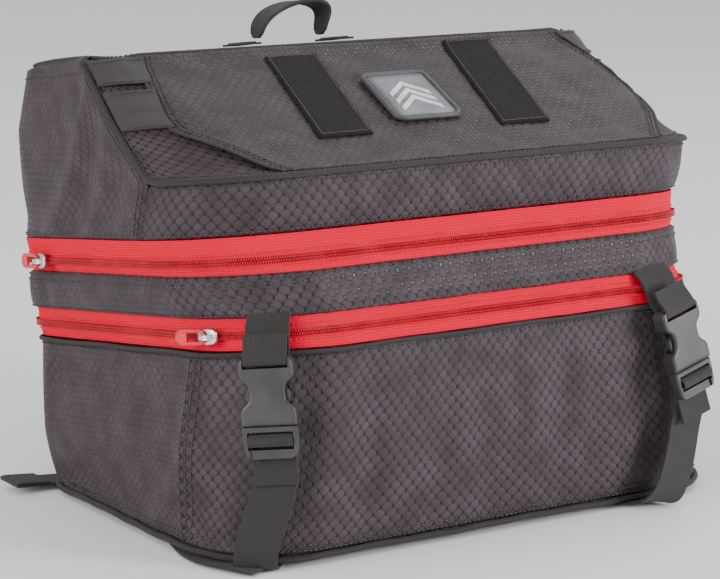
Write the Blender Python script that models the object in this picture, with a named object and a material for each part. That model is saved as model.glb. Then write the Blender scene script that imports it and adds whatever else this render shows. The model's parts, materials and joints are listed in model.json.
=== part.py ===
"""Strap-down luggage bag for a motorcycle: a soft box with a zipped expansion band, a zipped
loaf-shaped lid and two side-release buckle straps.

The bag is drawn in its own bag frame: +X to the right along the front, +Y to the back, +Z up
from the base seam, with every zip level. The base slopes against that frame, so the whole bag
leans back by LEAN when it stands on the floor. Lengths are written in millimetres and scaled to
metres once, in add_solid and make_axis.
"""
import math

import bmesh
import bpy
from mathutils import Vector

# Driving dimensions, millimetres
LEAN = math.radians(7.5)
SEAT_HEIGHT = 6.0           # base seam above the floor
ORIGIN_X = 0.0              # bag frame origin in the part frame, so that the part's
ORIGIN_Y = -133.68          # origin is the middle of its box on the floor
GAP = 0.4                   # clearance between neighbouring pieces
WALL = 3.0                  # padded fabric
TAPE = 1.2                  # zip tape
WEBBING = 1.6
WEBBING_WIDTH = 25.0
COIL_HEIGHT = 2.6
COIL_DEPTH = 1.9
COIL_RISE = 0.8             # coil's underside above its tape, measured level
FOLD = 1.3                  # clearance between pieces that meet at an angle
SEAM_STEP = 0.003           # half gap between two panels, along the outline
BACK_STEP = 0.03            # the same between the zips' ends and the band's back
SLOPE_STEP = 0.024          # the same beside the lid's slope, whose corners are tighter
SLOPE_WALL = 2.2            # unpadded fabric of the lid's slope
LID_TOP_GAP = 1.6           # clearance between the lid's top and its end panels
LID_CORNER_GAP = 2.5        # more of it where both round the back corners
ZIP_END = 3.9               # outline station where both zips end

BODY_TOP = 118.0
BAND_BOTTOM = 137.0
BAND_TOP = 160.0
LID_BOTTOM = 181.0
LID_SEAM = 214.0
SHOULDER = 250.0
RIDGE = 287.0
CREST = 290.0
LOWER_COIL = 127.5
UPPER_COIL = 168.0
HINGE_HEIGHT = 170.5
HINGE_Y = 262.4
MIDDLE_X = -4.0             # middle of the outline: the zips' closed end bulges less

BOARD_INSET = 12.0
BOARD_THICKNESS = 2.5
BASE_PIPING_RADIUS = 1.6
BASE_PIPING_DROP = 0.9
TOP_PIPING_RADIUS = 1.5
TOP_PIPING_DROP = 2.0
STRAP_ROOM = 2.2            # height of the base above the floor where webbing passes under it
PAD_SHARE = (0.46, 0.78)    # the base's pad against the base's own width and depth
PAD_FOOT_SHARE = (0.44, 0.76)

# Outline at each level: half width, front, back, front corner radius, back corner radius
LEVELS = (
    (0.0, 179.0, 6.0, 246.0, 54.0, 40.0),
    (62.0, 177.0, -8.0, 263.0, 64.0, 42.0),
    (BODY_TOP, 169.0, -17.0, 276.0, 68.0, 42.0),
    (BAND_BOTTOM, 173.0, -5.0, 273.0, 70.0, 42.0),
    (BAND_TOP, 177.0, 1.0, 266.0, 70.0, 42.0),
    (LID_BOTTOM, 185.5, 9.0, 255.0, 68.0, 42.0),
    (LID_SEAM, 185.0, -1.0, 260.0, 60.0, 42.0),
    (SHOULDER, 183.0, 62.0, 261.0, 40.0, 40.0),
    (RIDGE, 178.0, 127.0, 250.0, 18.0, 36.0),
    (CREST, 173.0, 141.0, 226.0, 8.0, 30.0),
)

COLOURS = {
    "ripstop": ((0.045, 0.042, 0.045), 0.75, 0.0),
    "lining": ((0.03, 0.03, 0.03), 0.9, 0.0),
    "red_tape": ((0.78, 0.02, 0.04), 0.65, 0.0),
    "red_coil": ((0.55, 0.01, 0.02), 0.45, 0.0),
    "webbing": ((0.022, 0.023, 0.022), 0.8, 0.0),
    "elastic": ((0.035, 0.036, 0.034), 0.7, 0.0),
    "loop_pile": ((0.02, 0.02, 0.02), 0.95, 0.0),
    "badge_rubber": ((0.16, 0.17, 0.18), 0.55, 0.0),
    "buckle_plastic": ((0.05, 0.053, 0.057), 0.38, 0.0),
    "slider_metal": ((0.6, 0.6, 0.62), 0.3, 1.0),
    "red_pull": ((0.7, 0.02, 0.04), 0.4, 0.0),
    "board_plastic": ((0.06, 0.06, 0.06), 0.6, 0.0),
}

axes = {}


def clear_scene():
    for thing in list(bpy.data.objects):
        bpy.data.objects.remove(thing, do_unlink=True)


def make_material(name):
    colour, roughness, metallic = COLOURS[name]
    material = bpy.data.materials.get(name)
    if material:
        return material
    material = bpy.data.materials.new(name)
    material.use_nodes = True
    shader = material.node_tree.nodes["Principled BSDF"]
    shader.inputs["Base Color"].default_value = (*colour, 1.0)
    shader.inputs["Roughness"].default_value = roughness
    shader.inputs["Metallic"].default_value = metallic
    material.diffuse_color = (*colour, 1.0)
    return material


def make_axis(name, place, parent):
    """An empty on a joint's axis, in the bag frame, that carries the pieces of one body."""
    empty = bpy.data.objects.new(name, None)
    bpy.context.scene.collection.objects.link(empty)
    start = axes[parent][1] if parent else Vector((0.0, 0.0, 0.0))
    if parent:
        empty.parent = axes[parent][0]
    empty.location = (Vector(place) - start) * 0.001
    axes[name] = (empty, Vector(place))
    return empty


def add_solid(name, points, faces, body, material):
    """One closed mesh. Points are in the bag frame, in millimetres."""
    empty, start = axes[body]
    mesh = bpy.data.meshes.new(name)
    mesh.from_pydata([(Vector(p) - start) * 0.001 for p in points], [], faces)
    mesh.validate()
    shape = bmesh.new()
    shape.from_mesh(mesh)
    bmesh.ops.recalc_face_normals(shape, faces=shape.faces)
    if shape.calc_volume(signed=True) < 0.0:
        bmesh.ops.reverse_faces(shape, faces=shape.faces)
    shape.to_mesh(mesh)
    shape.free()
    mesh.materials.append(make_material(material))
    solid = bpy.data.objects.new(name, mesh)
    bpy.context.scene.collection.objects.link(solid)
    solid.parent = empty
    return solid


# ---------------------------------------------------------------- the bag's outline

def level_at(height):
    """The outline's measures at a height, straight between the listed levels."""
    height = min(max(height, LEVELS[0][0]), LEVELS[-1][0])
    for low, high in zip(LEVELS, LEVELS[1:]):
        if height <= high[0]:
            share = (height - low[0]) / (high[0] - low[0])
            return tuple(a + (b - a) * share for a, b in zip(low, high))
    return LEVELS[-1]


def outline_point(level, station, offset=0.0):
    """A point on the outline. Stations run 0 front centre, 1 and 2 the front corner's ends,
    3 and 4 the back corner's ends, 5 back centre: negative on the left, and past 5 they run on
    round the back to the other side."""
    if station > 5.0:
        station = station - 10.0
    height, half, front, back, front_radius, back_radius = level
    side = -1.0 if station < 0.0 else 1.0
    travel = abs(station)
    if travel <= 1.0:
        x, y, nx, ny = travel * (half - front_radius), front, 0.0, -1.0
    elif travel <= 2.0:
        turn = (travel - 1.0) * math.pi / 2.0
        nx, ny = math.sin(turn), -math.cos(turn)
        x, y = half - front_radius + nx * front_radius, front + front_radius + ny * front_radius
    elif travel <= 3.0:
        low, high = front + front_radius, back - back_radius
        x, y, nx, ny = half, low + (travel - 2.0) * (high - low), 1.0, 0.0
    elif travel <= 4.0:
        turn = (travel - 3.0) * math.pi / 2.0
        nx, ny = math.cos(turn), math.sin(turn)
        x, y = half - back_radius + nx * back_radius, back - back_radius + ny * back_radius
    else:
        x, y, nx, ny = (5.0 - travel) * (half - back_radius), back, 0.0, 1.0
    return Vector((MIDDLE_X + side * (x + nx * offset), y + ny * offset, height))


def base_point(x, y, rise):
    """A point a given height above the base seam's plane, which slopes in the bag frame."""
    return Vector((x, y - rise * math.sin(LEAN), y * math.tan(LEAN) + rise * math.cos(LEAN)))


def stations(start, end):
    """Outline stations from start to end, close together round the corners."""
    steps = [-5, -4, -3, -2, -1, 1, 2, 3, 4, 6]
    splits = {-4: 4, -3: 1, -2: 5, -1: 3, 1: 5, 2: 1, 3: 4, 4: 3}
    result = [start]
    for low, high in zip(steps, steps[1:]):
        count = splits.get(low, 2)
        for index in range(count + 1):
            value = low + (high - low) * index / count
            if start + 0.02 < value < end - 0.02 and value > result[-1] + 0.01:
                result.append(value)
    result.append(end)
    return result


def outline_row(height, start, end, offset=0.0):
    level = level_at(height)
    return [outline_point(level, station, offset) for station in stations(start, end)]


# ---------------------------------------------------------------- solids from rows of points

def sheet_solid(name, rows, thickness, body, material):
    """A sheet given by its outer face, thickened inwards into a closed solid."""
    height, width = len(rows), len(rows[0])
    normals = [[Vector((0.0, 0.0, 0.0)) for _ in range(width)] for _ in range(height)]
    for r in range(height - 1):
        for c in range(width - 1):
            along = rows[r][c + 1] + rows[r + 1][c + 1] - rows[r][c] - rows[r + 1][c]
            up = rows[r + 1][c] + rows[r + 1][c + 1] - rows[r][c] - rows[r][c + 1]
            face_normal = along.cross(up).normalized()
            for dr, dc in ((0, 0), (0, 1), (1, 0), (1, 1)):
                normals[r + dr][c + dc] += face_normal
    points = [point for row in rows for point in row]
    for r in range(height):
        for c in range(width):
            points.append(rows[r][c] - normals[r][c].normalized() * thickness)
    inner = height * width
    faces = []
    for r in range(height - 1):
        for c in range(width - 1):
            a = r * width + c
            quad = (a, a + 1, a + width + 1, a + width)
            faces.append(quad)
            faces.append(tuple(inner + i for i in reversed(quad)))
    bottom_left, top_left = 0, (height - 1) * width
    rim = [bottom_left + c for c in range(width)]
    rim += [r * width + width - 1 for r in range(1, height)]
    rim += [top_left + c for c in range(width - 2, -1, -1)]
    rim += [r * width for r in range(height - 2, 0, -1)]
    for a, b in zip(rim, rim[1:] + rim[:1]):
        faces.append((b, a, inner + a, inner + b))
    return add_solid(name, points, faces, body, material)


def loft_solid(name, rings, body, material):
    """Closed rings of equal length joined into one capped solid."""
    width = len(rings[0])
    points = [point for ring in rings for point in ring]
    faces = [tuple(range(width))[::-1], tuple(range((len(rings) - 1) * width, len(rings) * width))]
    for r in range(len(rings) - 1):
        for c in range(width):
            a, b = r * width + c, r * width + (c + 1) % width
            faces.append((a, b, b + width, a + width))
    return add_solid(name, points, faces, body, material)


def tube_ring_solid(name, path, radius, body, material, sides=6, closed=True):
    """A round bead that follows a path, closed on itself or capped at both ends."""
    count = len(path)
    points = []
    for i, point in enumerate(path):
        before = path[i - 1] if closed or i > 0 else path[i]
        after = path[(i + 1) % count] if closed or i < count - 1 else path[i]
        forward = (after - before).normalized()
        side = forward.cross(Vector((0.0, 0.0, 1.0))).normalized()
        top = side.cross(forward).normalized()
        for k in range(sides):
            turn = 2.0 * math.pi * k / sides
            points.append(point + side * radius * math.cos(turn) + top * radius * math.sin(turn))
    faces = []
    for i in range(count if closed else count - 1):
        j = (i + 1) % count
        for k in range(sides):
            m = (k + 1) % sides
            faces.append((i * sides + k, i * sides + m, j * sides + m, j * sides + k))
    if not closed:
        faces.append(tuple(range(sides)))
        faces.append(tuple(range((count - 1) * sides, count * sides))[::-1])
    bead = add_solid(name, points, faces, body, material)
    bead.data.shade_smooth()
    bead.data.set_sharp_from_angle(angle=math.radians(80.0))
    return bead


def ribbon_solid(name, path, across, width, thickness, body, material):
    """Flat webbing along a path. across gives the width direction at each point; width may be
    one number or one for each point."""
    widths = width if isinstance(width, (list, tuple)) else [width] * len(path)
    points = []
    for i, point in enumerate(path):
        before = (path[i] - path[i - 1]).normalized() if i > 0 else None
        after = (path[i + 1] - path[i]).normalized() if i < len(path) - 1 else None
        forward = ((before or after) + (after or before)).normalized()
        wide = (across[i] - forward * across[i].dot(forward)).normalized()
        face = forward.cross(wide)
        bend = 1.0
        if before and after:
            bend = 1.0 / max(0.5, math.cos(before.angle(after) / 2.0))
        half, thick = wide * widths[i] / 2.0, face * thickness * bend / 2.0
        points += [point - half - thick, point + half - thick, point + half + thick, point - half + thick]
    faces = [(3, 2, 1, 0)]
    for i in range(len(path) - 1):
        for k in range(4):
            m = (k + 1) % 4
            faces.append((i * 4 + k, i * 4 + m, i * 4 + 4 + m, i * 4 + 4 + k))
    last = (len(path) - 1) * 4
    faces.append((last, last + 1, last + 2, last + 3))
    return add_solid(name, points, faces, body, material)


def cell_solid(name, cuts, filled, place, body, material):
    """A stepped moulding: the filled cells of a box grid, with only their outer faces."""
    us, vs, ns = cuts
    index = {}
    points = []
    faces = []

    def vertex(i, j, k):
        if (i, j, k) not in index:
            index[(i, j, k)] = len(points)
            points.append(place(us[i], vs[j], ns[k]))
        return index[(i, j, k)]

    def is_filled(i, j, k):
        if not (0 <= i < len(us) - 1 and 0 <= j < len(vs) - 1 and 0 <= k < len(ns) - 1):
            return False
        return filled((us[i] + us[i + 1]) / 2, (vs[j] + vs[j + 1]) / 2, (ns[k] + ns[k + 1]) / 2)

    sides = {
        (-1, 0, 0): ((0, 0, 0), (0, 0, 1), (0, 1, 1), (0, 1, 0)),
        (1, 0, 0): ((1, 0, 0), (1, 1, 0), (1, 1, 1), (1, 0, 1)),
        (0, -1, 0): ((0, 0, 0), (1, 0, 0), (1, 0, 1), (0, 0, 1)),
        (0, 1, 0): ((0, 1, 0), (0, 1, 1), (1, 1, 1), (1, 1, 0)),
        (0, 0, -1): ((0, 0, 0), (0, 1, 0), (1, 1, 0), (1, 0, 0)),
        (0, 0, 1): ((0, 0, 1), (1, 0, 1), (1, 1, 1), (0, 1, 1)),
    }
    for i in range(len(us) - 1):
        for j in range(len(vs) - 1):
            for k in range(len(ns) - 1):
                if not is_filled(i, j, k):
                    continue
                for (di, dj, dk), corners in sides.items():
                    if not is_filled(i + di, j + dj, k + dk):
                        faces.append(tuple(vertex(i + a, j + b, k + c) for a, b, c in corners))
    return add_solid(name, points, faces, body, material)


# ---------------------------------------------------------------- lower body

def build_lower_body():
    panel_rows = (0.0, 31.0, 62.0, 90.0, BODY_TOP)
    panels = {
        "body_front_panel": (-2.0 + SEAM_STEP, 2.0 - SEAM_STEP),
        "body_left_end": (-4.0 + SEAM_STEP, -2.0 - SEAM_STEP),
        "body_right_end": (2.0 + SEAM_STEP, 4.0 - SEAM_STEP),
        "body_back_panel": (4.0 + SEAM_STEP, 6.0 - SEAM_STEP),
    }
    for name, (start, end) in panels.items():
        rows = []
        for height in panel_rows:
            row = outline_row(height, start, end)
            if height == 0.0:
                row = [base_point(p.x, p.y, GAP / 2) for p in row]
            elif height == BODY_TOP:
                row = [p - Vector((0.0, 0.0, GAP / 2)) for p in row]
            elif height < 60.0:
                row = [p + Vector((0.0, 0.0, p.y * math.tan(LEAN) * (1.0 - height / 62.0))) for p in row]
            rows.append(row)
        sheet_solid(name, rows, WALL, "bag", "ripstop")

    build_base_panel()

    board = outline_row(0.0, -5.0, 5.0, -BOARD_INSET)[:-1]
    rings = [[base_point(p.x, p.y, rise) for p in board] for rise in (GAP, GAP + BOARD_THICKNESS)]
    loft_solid("base_board", rings, "bag", "board_plastic")

    edge = outline_row(0.0, -5.0, 5.0, BASE_PIPING_RADIUS + GAP)[:-1]
    path = [base_point(p.x, p.y, -BASE_PIPING_DROP) for p in edge]
    tube_ring_solid("base_piping", path, BASE_PIPING_RADIUS, "bag", "ripstop")
    path = outline_row(BODY_TOP - TOP_PIPING_DROP, -5.0, 5.0, TOP_PIPING_RADIUS + GAP)[:-1]
    tube_ring_solid("body_top_piping", path, TOP_PIPING_RADIUS, "bag", "ripstop")


def build_base_panel():
    """The base: level under the webbing, and sagging between the straps to a flat pad that
    touches the floor."""
    rings = []
    for rise, inwards in ((-GAP / 2, 0.0), (-2.0, 6.0), (STRAP_ROOM - SEAT_HEIGHT, 20.0)):
        ring = outline_row(0.0, -5.0, 5.0, -inwards)[:-1]
        rings.append([base_point(p.x, p.y, rise) for p in ring])
    level = rings[-1]
    middle = sum(level, Vector()) / len(level)
    for (share_x, share_y), rise in ((PAD_SHARE, STRAP_ROOM), (PAD_FOOT_SHARE, 0.0)):
        ring = []
        for point in outline_row(0.0, -5.0, 5.0, -20.0)[:-1]:
            x, y = point.x * share_x, middle.y + (point.y - middle.y) * share_y
            ring.append(base_point(x, y, rise - SEAT_HEIGHT))
        rings.append(ring)
    loft_solid("base_panel", rings[::-1], "bag", "ripstop")


# ---------------------------------------------------------------- zips and band

def tape_rows(low, high, offset=0.0):
    return [outline_row(height, -ZIP_END, ZIP_END, offset) for height in (low, high)]


def build_zip(prefix, low_edge, coil, high_edge, low_body, high_body):
    """A zip round the front and both ends: two tapes and the two halves of its coil."""
    sheet_solid(prefix + "_lower_tape", tape_rows(low_edge, coil - GAP / 2), TAPE, low_body, "red_tape")
    sheet_solid(prefix + "_upper_tape", tape_rows(coil + GAP / 2, high_edge), TAPE, high_body, "red_tape")
    proud = COIL_DEPTH + COIL_RISE
    low_rows = tape_rows(coil - COIL_HEIGHT, coil - GAP / 2, proud)
    high_rows = tape_rows(coil + GAP / 2, coil + COIL_HEIGHT, proud)
    sheet_solid(prefix + "_lower_coil", low_rows, COIL_DEPTH, low_body, "red_coil")
    sheet_solid(prefix + "_upper_coil", high_rows, COIL_DEPTH, high_body, "red_coil")


def build_band():
    rows = []
    for height, bulge in ((BAND_BOTTOM + GAP / 2, 0.0), (148.0, 1.5), (BAND_TOP - GAP / 2, 0.0)):
        rows.append(outline_row(height, -ZIP_END, ZIP_END, bulge))
    sheet_solid("band_strip", rows, WALL, "band_axis", "ripstop")
    start, end = ZIP_END + BACK_STEP, 10.0 - ZIP_END - BACK_STEP
    heights = (BODY_TOP + 2.0, BAND_BOTTOM, BAND_TOP, HINGE_HEIGHT - GAP)
    rows = [outline_row(height, start, end) for height in heights]
    sheet_solid("band_back", rows, WALL, "band_axis", "ripstop")
    rows = [outline_row(height, -ZIP_END, ZIP_END, -9.0) for height in (113.0, LOWER_COIL, 142.0)]
    sheet_solid("expansion_gusset", rows, 1.0, "band_axis", "lining")


# ---------------------------------------------------------------- lid

def slope_level(run):
    """The outline level a given distance up the lid's sloped front."""
    length = math.hypot(LEVELS[-2][2] - LEVELS[-4][2], RIDGE - LID_SEAM)
    return level_at(LID_SEAM + (RIDGE - LID_SEAM) * run / length)


def station_of(level, x):
    """The outline station whose point has this x, on the front and its corners."""
    half, radius = level[1], level[4]
    straight = half - radius
    x -= MIDDLE_X
    if abs(x) <= straight:
        return x / straight
    turn = math.asin(min(1.0, (abs(x) - straight) / radius))
    return math.copysign(1.0 + turn / (math.pi / 2.0), x)


def slope_point(x, run, proud=0.0, station=None):
    """A point on the lid's sloped front, proud of it by the given distance."""
    level = slope_level(run)
    if station is None:
        station = station_of(level, x)
    point = outline_point(level, station)
    above = outline_point(slope_level(run + 2.0), station)
    below = outline_point(slope_level(run - 2.0), station)
    right = outline_point(level, station + 0.02)
    left = outline_point(level, station - 0.02)
    return point + (right - left).cross(above - below).normalized() * proud


def slope_patch(name, corners, proud, thickness, columns, material):
    """A flat piece on the slope. corners lists (run, left x, right x) from the bottom up."""
    rows = []
    for run, left, right in corners:
        row = []
        for c in range(columns + 1):
            row.append(slope_point(left + (right - left) * c / columns, run, proud))
        rows.append(row)
    return sheet_solid(name, rows, thickness, "lid_axis", material)


LID_HEIGHTS = (LID_SEAM, 232.0, SHOULDER, 268.0, 280.0)


def build_lid_shell():
    seam = GAP / 2
    rows = [outline_row(height, -2.0 + SEAM_STEP, 2.0 - SEAM_STEP)
            for height in (LID_BOTTOM + seam, LID_SEAM - WALL - GAP)]
    sheet_solid("lid_front_panel", rows, WALL, "lid_axis", "ripstop")
    rows = [outline_row(height, -2.0 + SLOPE_STEP, 2.0 - SLOPE_STEP)
            for height in (LID_SEAM + seam, SHOULDER, RIDGE - seam)]
    sheet_solid("lid_slope_panel", rows, SLOPE_WALL, "lid_axis", "ripstop")
    heights = (LID_BOTTOM + seam, *LID_HEIGHTS, CREST - 3.0)
    for name, start, end in (("lid_left_end", -4.0, -2.0), ("lid_right_end", 2.0, 4.0)):
        rows = [outline_row(height, start + SEAM_STEP, end - SEAM_STEP) for height in heights]
        sheet_solid(name, rows, WALL, "lid_axis", "ripstop")
    build_lid_top()


def lid_inner_half(y, z):
    """Half the width between the lid's end panels at a place on its top."""
    level = level_at(min(z, CREST - WALL))
    half, back, radius = level[1], level[3], level[5]
    past = max(0.0, y - (back - radius))
    inside = radius - WALL - LID_CORNER_GAP
    return half - radius - LID_TOP_GAP + math.sqrt(max(inside ** 2 - past ** 2, 0.0))


def build_lid_top():
    """The back and the top of the lid in one panel, from the hinge over the crest to the ridge."""
    columns = 6
    rows = []
    start, end = 4.0 + 2.0 * SEAM_STEP, 6.0 - 2.0 * SEAM_STEP
    for height in (HINGE_HEIGHT + GAP, LID_BOTTOM, *LID_HEIGHTS):
        level = level_at(height)
        rows.append([outline_point(level, start + (end - start) * c / columns) for c in range(columns + 1)])
    ridge_y = level_at(RIDGE)[2]
    over = ((246.0, CREST - 6.4), (239.5, CREST - 4.6), (232.0, CREST - 2.4), (220.0, CREST - 0.6),
            (196.0, CREST + 0.8), (162.0, CREST + 1.0), (143.0, CREST + 0.2), (ridge_y + 1.4, RIDGE + 0.9))
    for y, z in over:
        front_share = max(0.0, (160.0 - y) / (160.0 - ridge_y))
        half = lid_inner_half(y, z) - 12.0 * front_share
        rows.append([Vector((MIDDLE_X + half * (1.0 - 2.0 * c / columns), y, z)) for c in range(columns + 1)])
    sheet_solid("lid_top_panel", rows, 2.4, "lid_axis", "ripstop")


# Half widths of the pocket panel at distances up the slope
OVERLAY_EDGE = ((4.0, 136.0), (33.0, 155.0), (60.0, 171.0), (72.6, 171.5), (90.0, 169.0),
                (117.0, 163.0), (145.0, 155.0))


def overlay_half(run):
    for (low, a), (high, b) in zip(OVERLAY_EDGE, OVERLAY_EDGE[1:]):
        if run <= high:
            return a + (b - a) * (run - low) / (high - low)
    return OVERLAY_EDGE[-1][1]


def build_lid_trim():
    corners = [(run, -half, half) for run, half in OVERLAY_EDGE]
    slope_patch("pocket_overlay", corners, 2.4, 1.4, 44, "ripstop")
    slope_patch("loop_patch_left", [(38.0, -91.0, -55.0), (136.0, -73.0, -37.0)], 4.2, 1.4, 1, "loop_pile")
    slope_patch("loop_patch_right", [(36.0, 36.0, 72.0), (141.0, 60.0, 96.0)], 4.2, 1.4, 1, "loop_pile")
    for name, low, high in (("upper", 118.0, 143.0), ("lower", 64.0, 106.0)):
        for side_name, side in (("left", -1.0), ("right", 1.0)):
            rows = []
            for step in range(4):
                run = low + (high - low) * step / 3.0
                inner = abs(station_of(slope_level(run), side * (overlay_half(run) + 1.0)))
                outer = 2.0 - 2.0 * SEAM_STEP
                row = []
                for c in range(6):
                    station = inner + (outer - inner) * c / 5.0
                    row.append(slope_point(0.0, run, 2.4, side * station))
                rows.append(row if side > 0 else row[::-1])
            sheet_solid("wing_" + name + "_" + side_name, rows, 1.4, "lid_axis", "elastic")
    build_badge()


def build_badge():
    half_wide, half_tall, corner = 24.0, 28.5, 7.0
    middle_x, middle_run = -5.0, 76.0
    rings = []
    for proud in (2.8, 5.5):
        ring = []
        for sx, sy, first in ((1, 1, 0.0), (-1, 1, 90.0), (-1, -1, 180.0), (1, -1, 270.0)):
            for step in range(4):
                turn = math.radians(first + 30.0 * step)
                x = sx * (half_wide - corner) + corner * math.cos(turn)
                run = sy * (half_tall - corner) + corner * math.sin(turn)
                ring.append(slope_point(middle_x + x + 0.10 * run, middle_run + run, proud))
        rings.append(ring)
    loft_solid("rubber_badge", rings, "lid_axis", "badge_rubber")


HANDLE_Y = 188.0
HANDLE_X = -12.0
HANDLE_SPAN = 23.5
HANDLE_RISE = 21.5
HANDLE_LEAN = 12.0          # the loop's crown is pushed over to the right
HANDLE_FOOT = CREST + 4.6
TAB_MIDDLE = 34.5           # sewn tabs either side of the handle's feet


def build_handle():
    steps = 14
    path = []
    widths = []
    for i in range(steps + 1):
        turn = math.pi * i / steps
        x = HANDLE_X - HANDLE_SPAN * math.cos(turn) + HANDLE_LEAN * math.sin(turn)
        z = HANDLE_FOOT + HANDLE_RISE * math.sin(turn) ** 0.7
        path.append(Vector((x, HANDLE_Y, z)))
        widths.append(6.0 + 16.0 * math.sin(turn) ** 0.42)
    across = [Vector((0.0, 1.0, 0.0))] * len(path)
    ribbon_solid("carry_handle", path, across, widths, 2.4, "handle_axis", "webbing")
    for name, side in (("handle_tab_left", -1.0), ("handle_tab_right", 1.0)):
        x = HANDLE_X + side * TAB_MIDDLE
        path = [Vector((x, HANDLE_Y - 14.0, CREST + 2.7)), Vector((x, HANDLE_Y + 14.0, CREST + 2.7))]
        ribbon_solid(name, path, [Vector((1.0, 0.0, 0.0))] * 2, 12.0, 1.4, "lid_axis", "webbing")


# ---------------------------------------------------------------- buckle straps

class StrapFrame:
    """Local axes of one buckle strap: u across, v down along the strap, n out of the bag."""

    def __init__(self, top, facing, tilt):
        self.top = Vector(top)
        self.out = Vector((math.cos(facing), math.sin(facing), 0.0))
        level_across = Vector((-math.sin(facing), math.cos(facing), 0.0))
        down = Vector((0.0, 0.0, -1.0))
        self.down = down * math.cos(tilt) + level_across * math.sin(tilt)
        self.across = level_across * math.cos(tilt) - down * math.sin(tilt)

    def at(self, u, v, n):
        return self.top + self.across * u + self.down * v + self.out * n


BUCKLE_LENGTH = 56.4
SOCKET_END = 38.0
PLUG_TOP = 38.4
BUCKLE_BACK = 3.6           # back of the buckle above the strap frame's own plane
SLOT_HALF = 12.9            # half width of the webbing slots and of the socket's cavity
BUCKLE_HALF = 15.6
PRONG_ROOT = 37.8
PRONG_PIVOT_U = 8.6
PRONG_MIDDLE = 5.2          # middle of the prongs' thickness above the buckle's back


def buckle_width(v):
    """Half width of the socket and plug at a distance down the buckle."""
    shape = ((0.0, 14.6), (2.8, 15.4), (12.0, BUCKLE_HALF), (14.2, 13.7), (25.6, 13.7), (28.0, 15.0),
             (33.0, BUCKLE_HALF), (PLUG_TOP, BUCKLE_HALF), (BUCKLE_LENGTH, 14.4))
    for (low, a), (high, b) in zip(shape, shape[1:]):
        if v <= high:
            return a + (b - a) * (v - low) / (high - low)
    return shape[-1][1]


def build_socket(name, frame):
    """The female half: webbing slot and bar on top, an open cavity below, windows at its waist."""
    waist_half = 9.6
    bar_end, slot_end, cavity_start = 2.8, 6.2, 12.0
    window_start, window_end = 14.2, 25.6
    us = (-BUCKLE_HALF, -SLOT_HALF, -waist_half, waist_half, SLOT_HALF, BUCKLE_HALF)
    vs = (0.0, bar_end, slot_end, cavity_start, window_start, 20.0, window_end, 28.0, 33.0, SOCKET_END)
    ns = (0.0, 2.2, 3.2, 7.0, 7.8, 10.0)

    def filled(u, v, n):
        wide = abs(u)
        if v < slot_end and wide < SLOT_HALF:
            return v < bar_end and 3.2 < n < 7.0
        if v > cavity_start and wide < SLOT_HALF and 2.2 < n < 7.8:
            return False
        return not (window_start < v < window_end and wide > waist_half)

    def place(u, v, n):
        if abs(u) == BUCKLE_HALF:
            u = math.copysign(buckle_width(v), u)
        return frame.at(u, v, BUCKLE_BACK + n)

    return cell_solid(name, (us, vs, ns), filled, place, "band_axis", "buckle_plastic")


def build_plug(name, frame, body):
    """The male half: a frame with two webbing slots and a centre guide that enters the socket."""
    guide_half, guide_start = 2.6, 15.0
    us = (-BUCKLE_HALF, -SLOT_HALF, -guide_half, guide_half, SLOT_HALF, BUCKLE_HALF)
    vs = (guide_start, PLUG_TOP, 41.6, 45.0, 47.6, 51.0, BUCKLE_LENGTH)
    ns = (2.4, 3.6, 7.0, 9.0)

    def filled(u, v, n):
        if v < PLUG_TOP:
            return abs(u) < guide_half and 3.6 < n < 7.0
        in_slot = 41.6 < v < 45.0 or 47.6 < v < 51.0
        return not (in_slot and abs(u) < SLOT_HALF)

    def place(u, v, n):
        if abs(u) == BUCKLE_HALF:
            u = math.copysign(buckle_width(v), u)
        return frame.at(u, v, BUCKLE_BACK + n)

    return cell_solid(name, (us, vs, ns), filled, place, body, "buckle_plastic")


def build_prong(name, frame, side, body):
    """One sprung arm of the plug, wider where it shows in the socket's window."""
    outer = ((17.0, 9.6), (19.0, 12.2), (24.5, 12.2), (27.5, 10.6), (PRONG_ROOT, 10.4))
    inner = ((17.0, 7.6), (19.0, 7.4), (24.5, 7.4), (27.5, 7.2), (PRONG_ROOT, 6.8))
    ring = [(u, v) for v, u in outer] + [(u, v) for v, u in reversed(inner)]
    rings = []
    for n in (PRONG_MIDDLE - 1.5, PRONG_MIDDLE + 1.5):
        rings.append([frame.at(side * u, v, BUCKLE_BACK + n) for u, v in ring])
    return loft_solid(name, rings, body, "buckle_plastic")


def strap_surface(frame, height):
    """How far out of the strap's own plane the bag's outline is at this height."""
    level = level_at(height)
    best = None
    reach = (frame.top.z - height)
    aim = frame.top + frame.down * reach
    for step in range(-200, 201):
        point = outline_point(level, step * 0.01)
        off = point - aim
        sideways = abs(off.x * -frame.out.y + off.y * frame.out.x)
        if best is None or sideways < best[0]:
            best = (sideways, off.dot(frame.out))
    return best[1]


def build_upper_strap(name, frame, offset):
    """Webbing sewn under the band's lower seam, looped through the socket's bar. Its sewn end
    stands off to one side of the buckle's middle line by the given offset."""
    path = []
    sewn = BAND_BOTTOM - 0.6
    straight_below = BODY_TOP + 2.0
    for height, clear in ((sewn, 3.4), (132.5, 6.6), (LOWER_COIL - 2.0, 7.0), (BODY_TOP + 1.0, 5.4)):
        aside = offset * max(0.0, (height - straight_below) / (sewn - straight_below))
        path.append(frame.at(aside, frame.top.z - height, strap_surface(frame, height) + clear))
    for v, n in ((0.4, 5.1), (3.2, 5.4), (4.5, 7.3), (4.5, 11.8), (2.8, 13.1), (-1.5, 12.2), (-6.0, 8.8)):
        path.append(frame.at(0.0, v, n))
    ribbon_solid(name, path, [frame.across] * len(path), WEBBING_WIDTH, WEBBING, "band_axis", "webbing")


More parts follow.
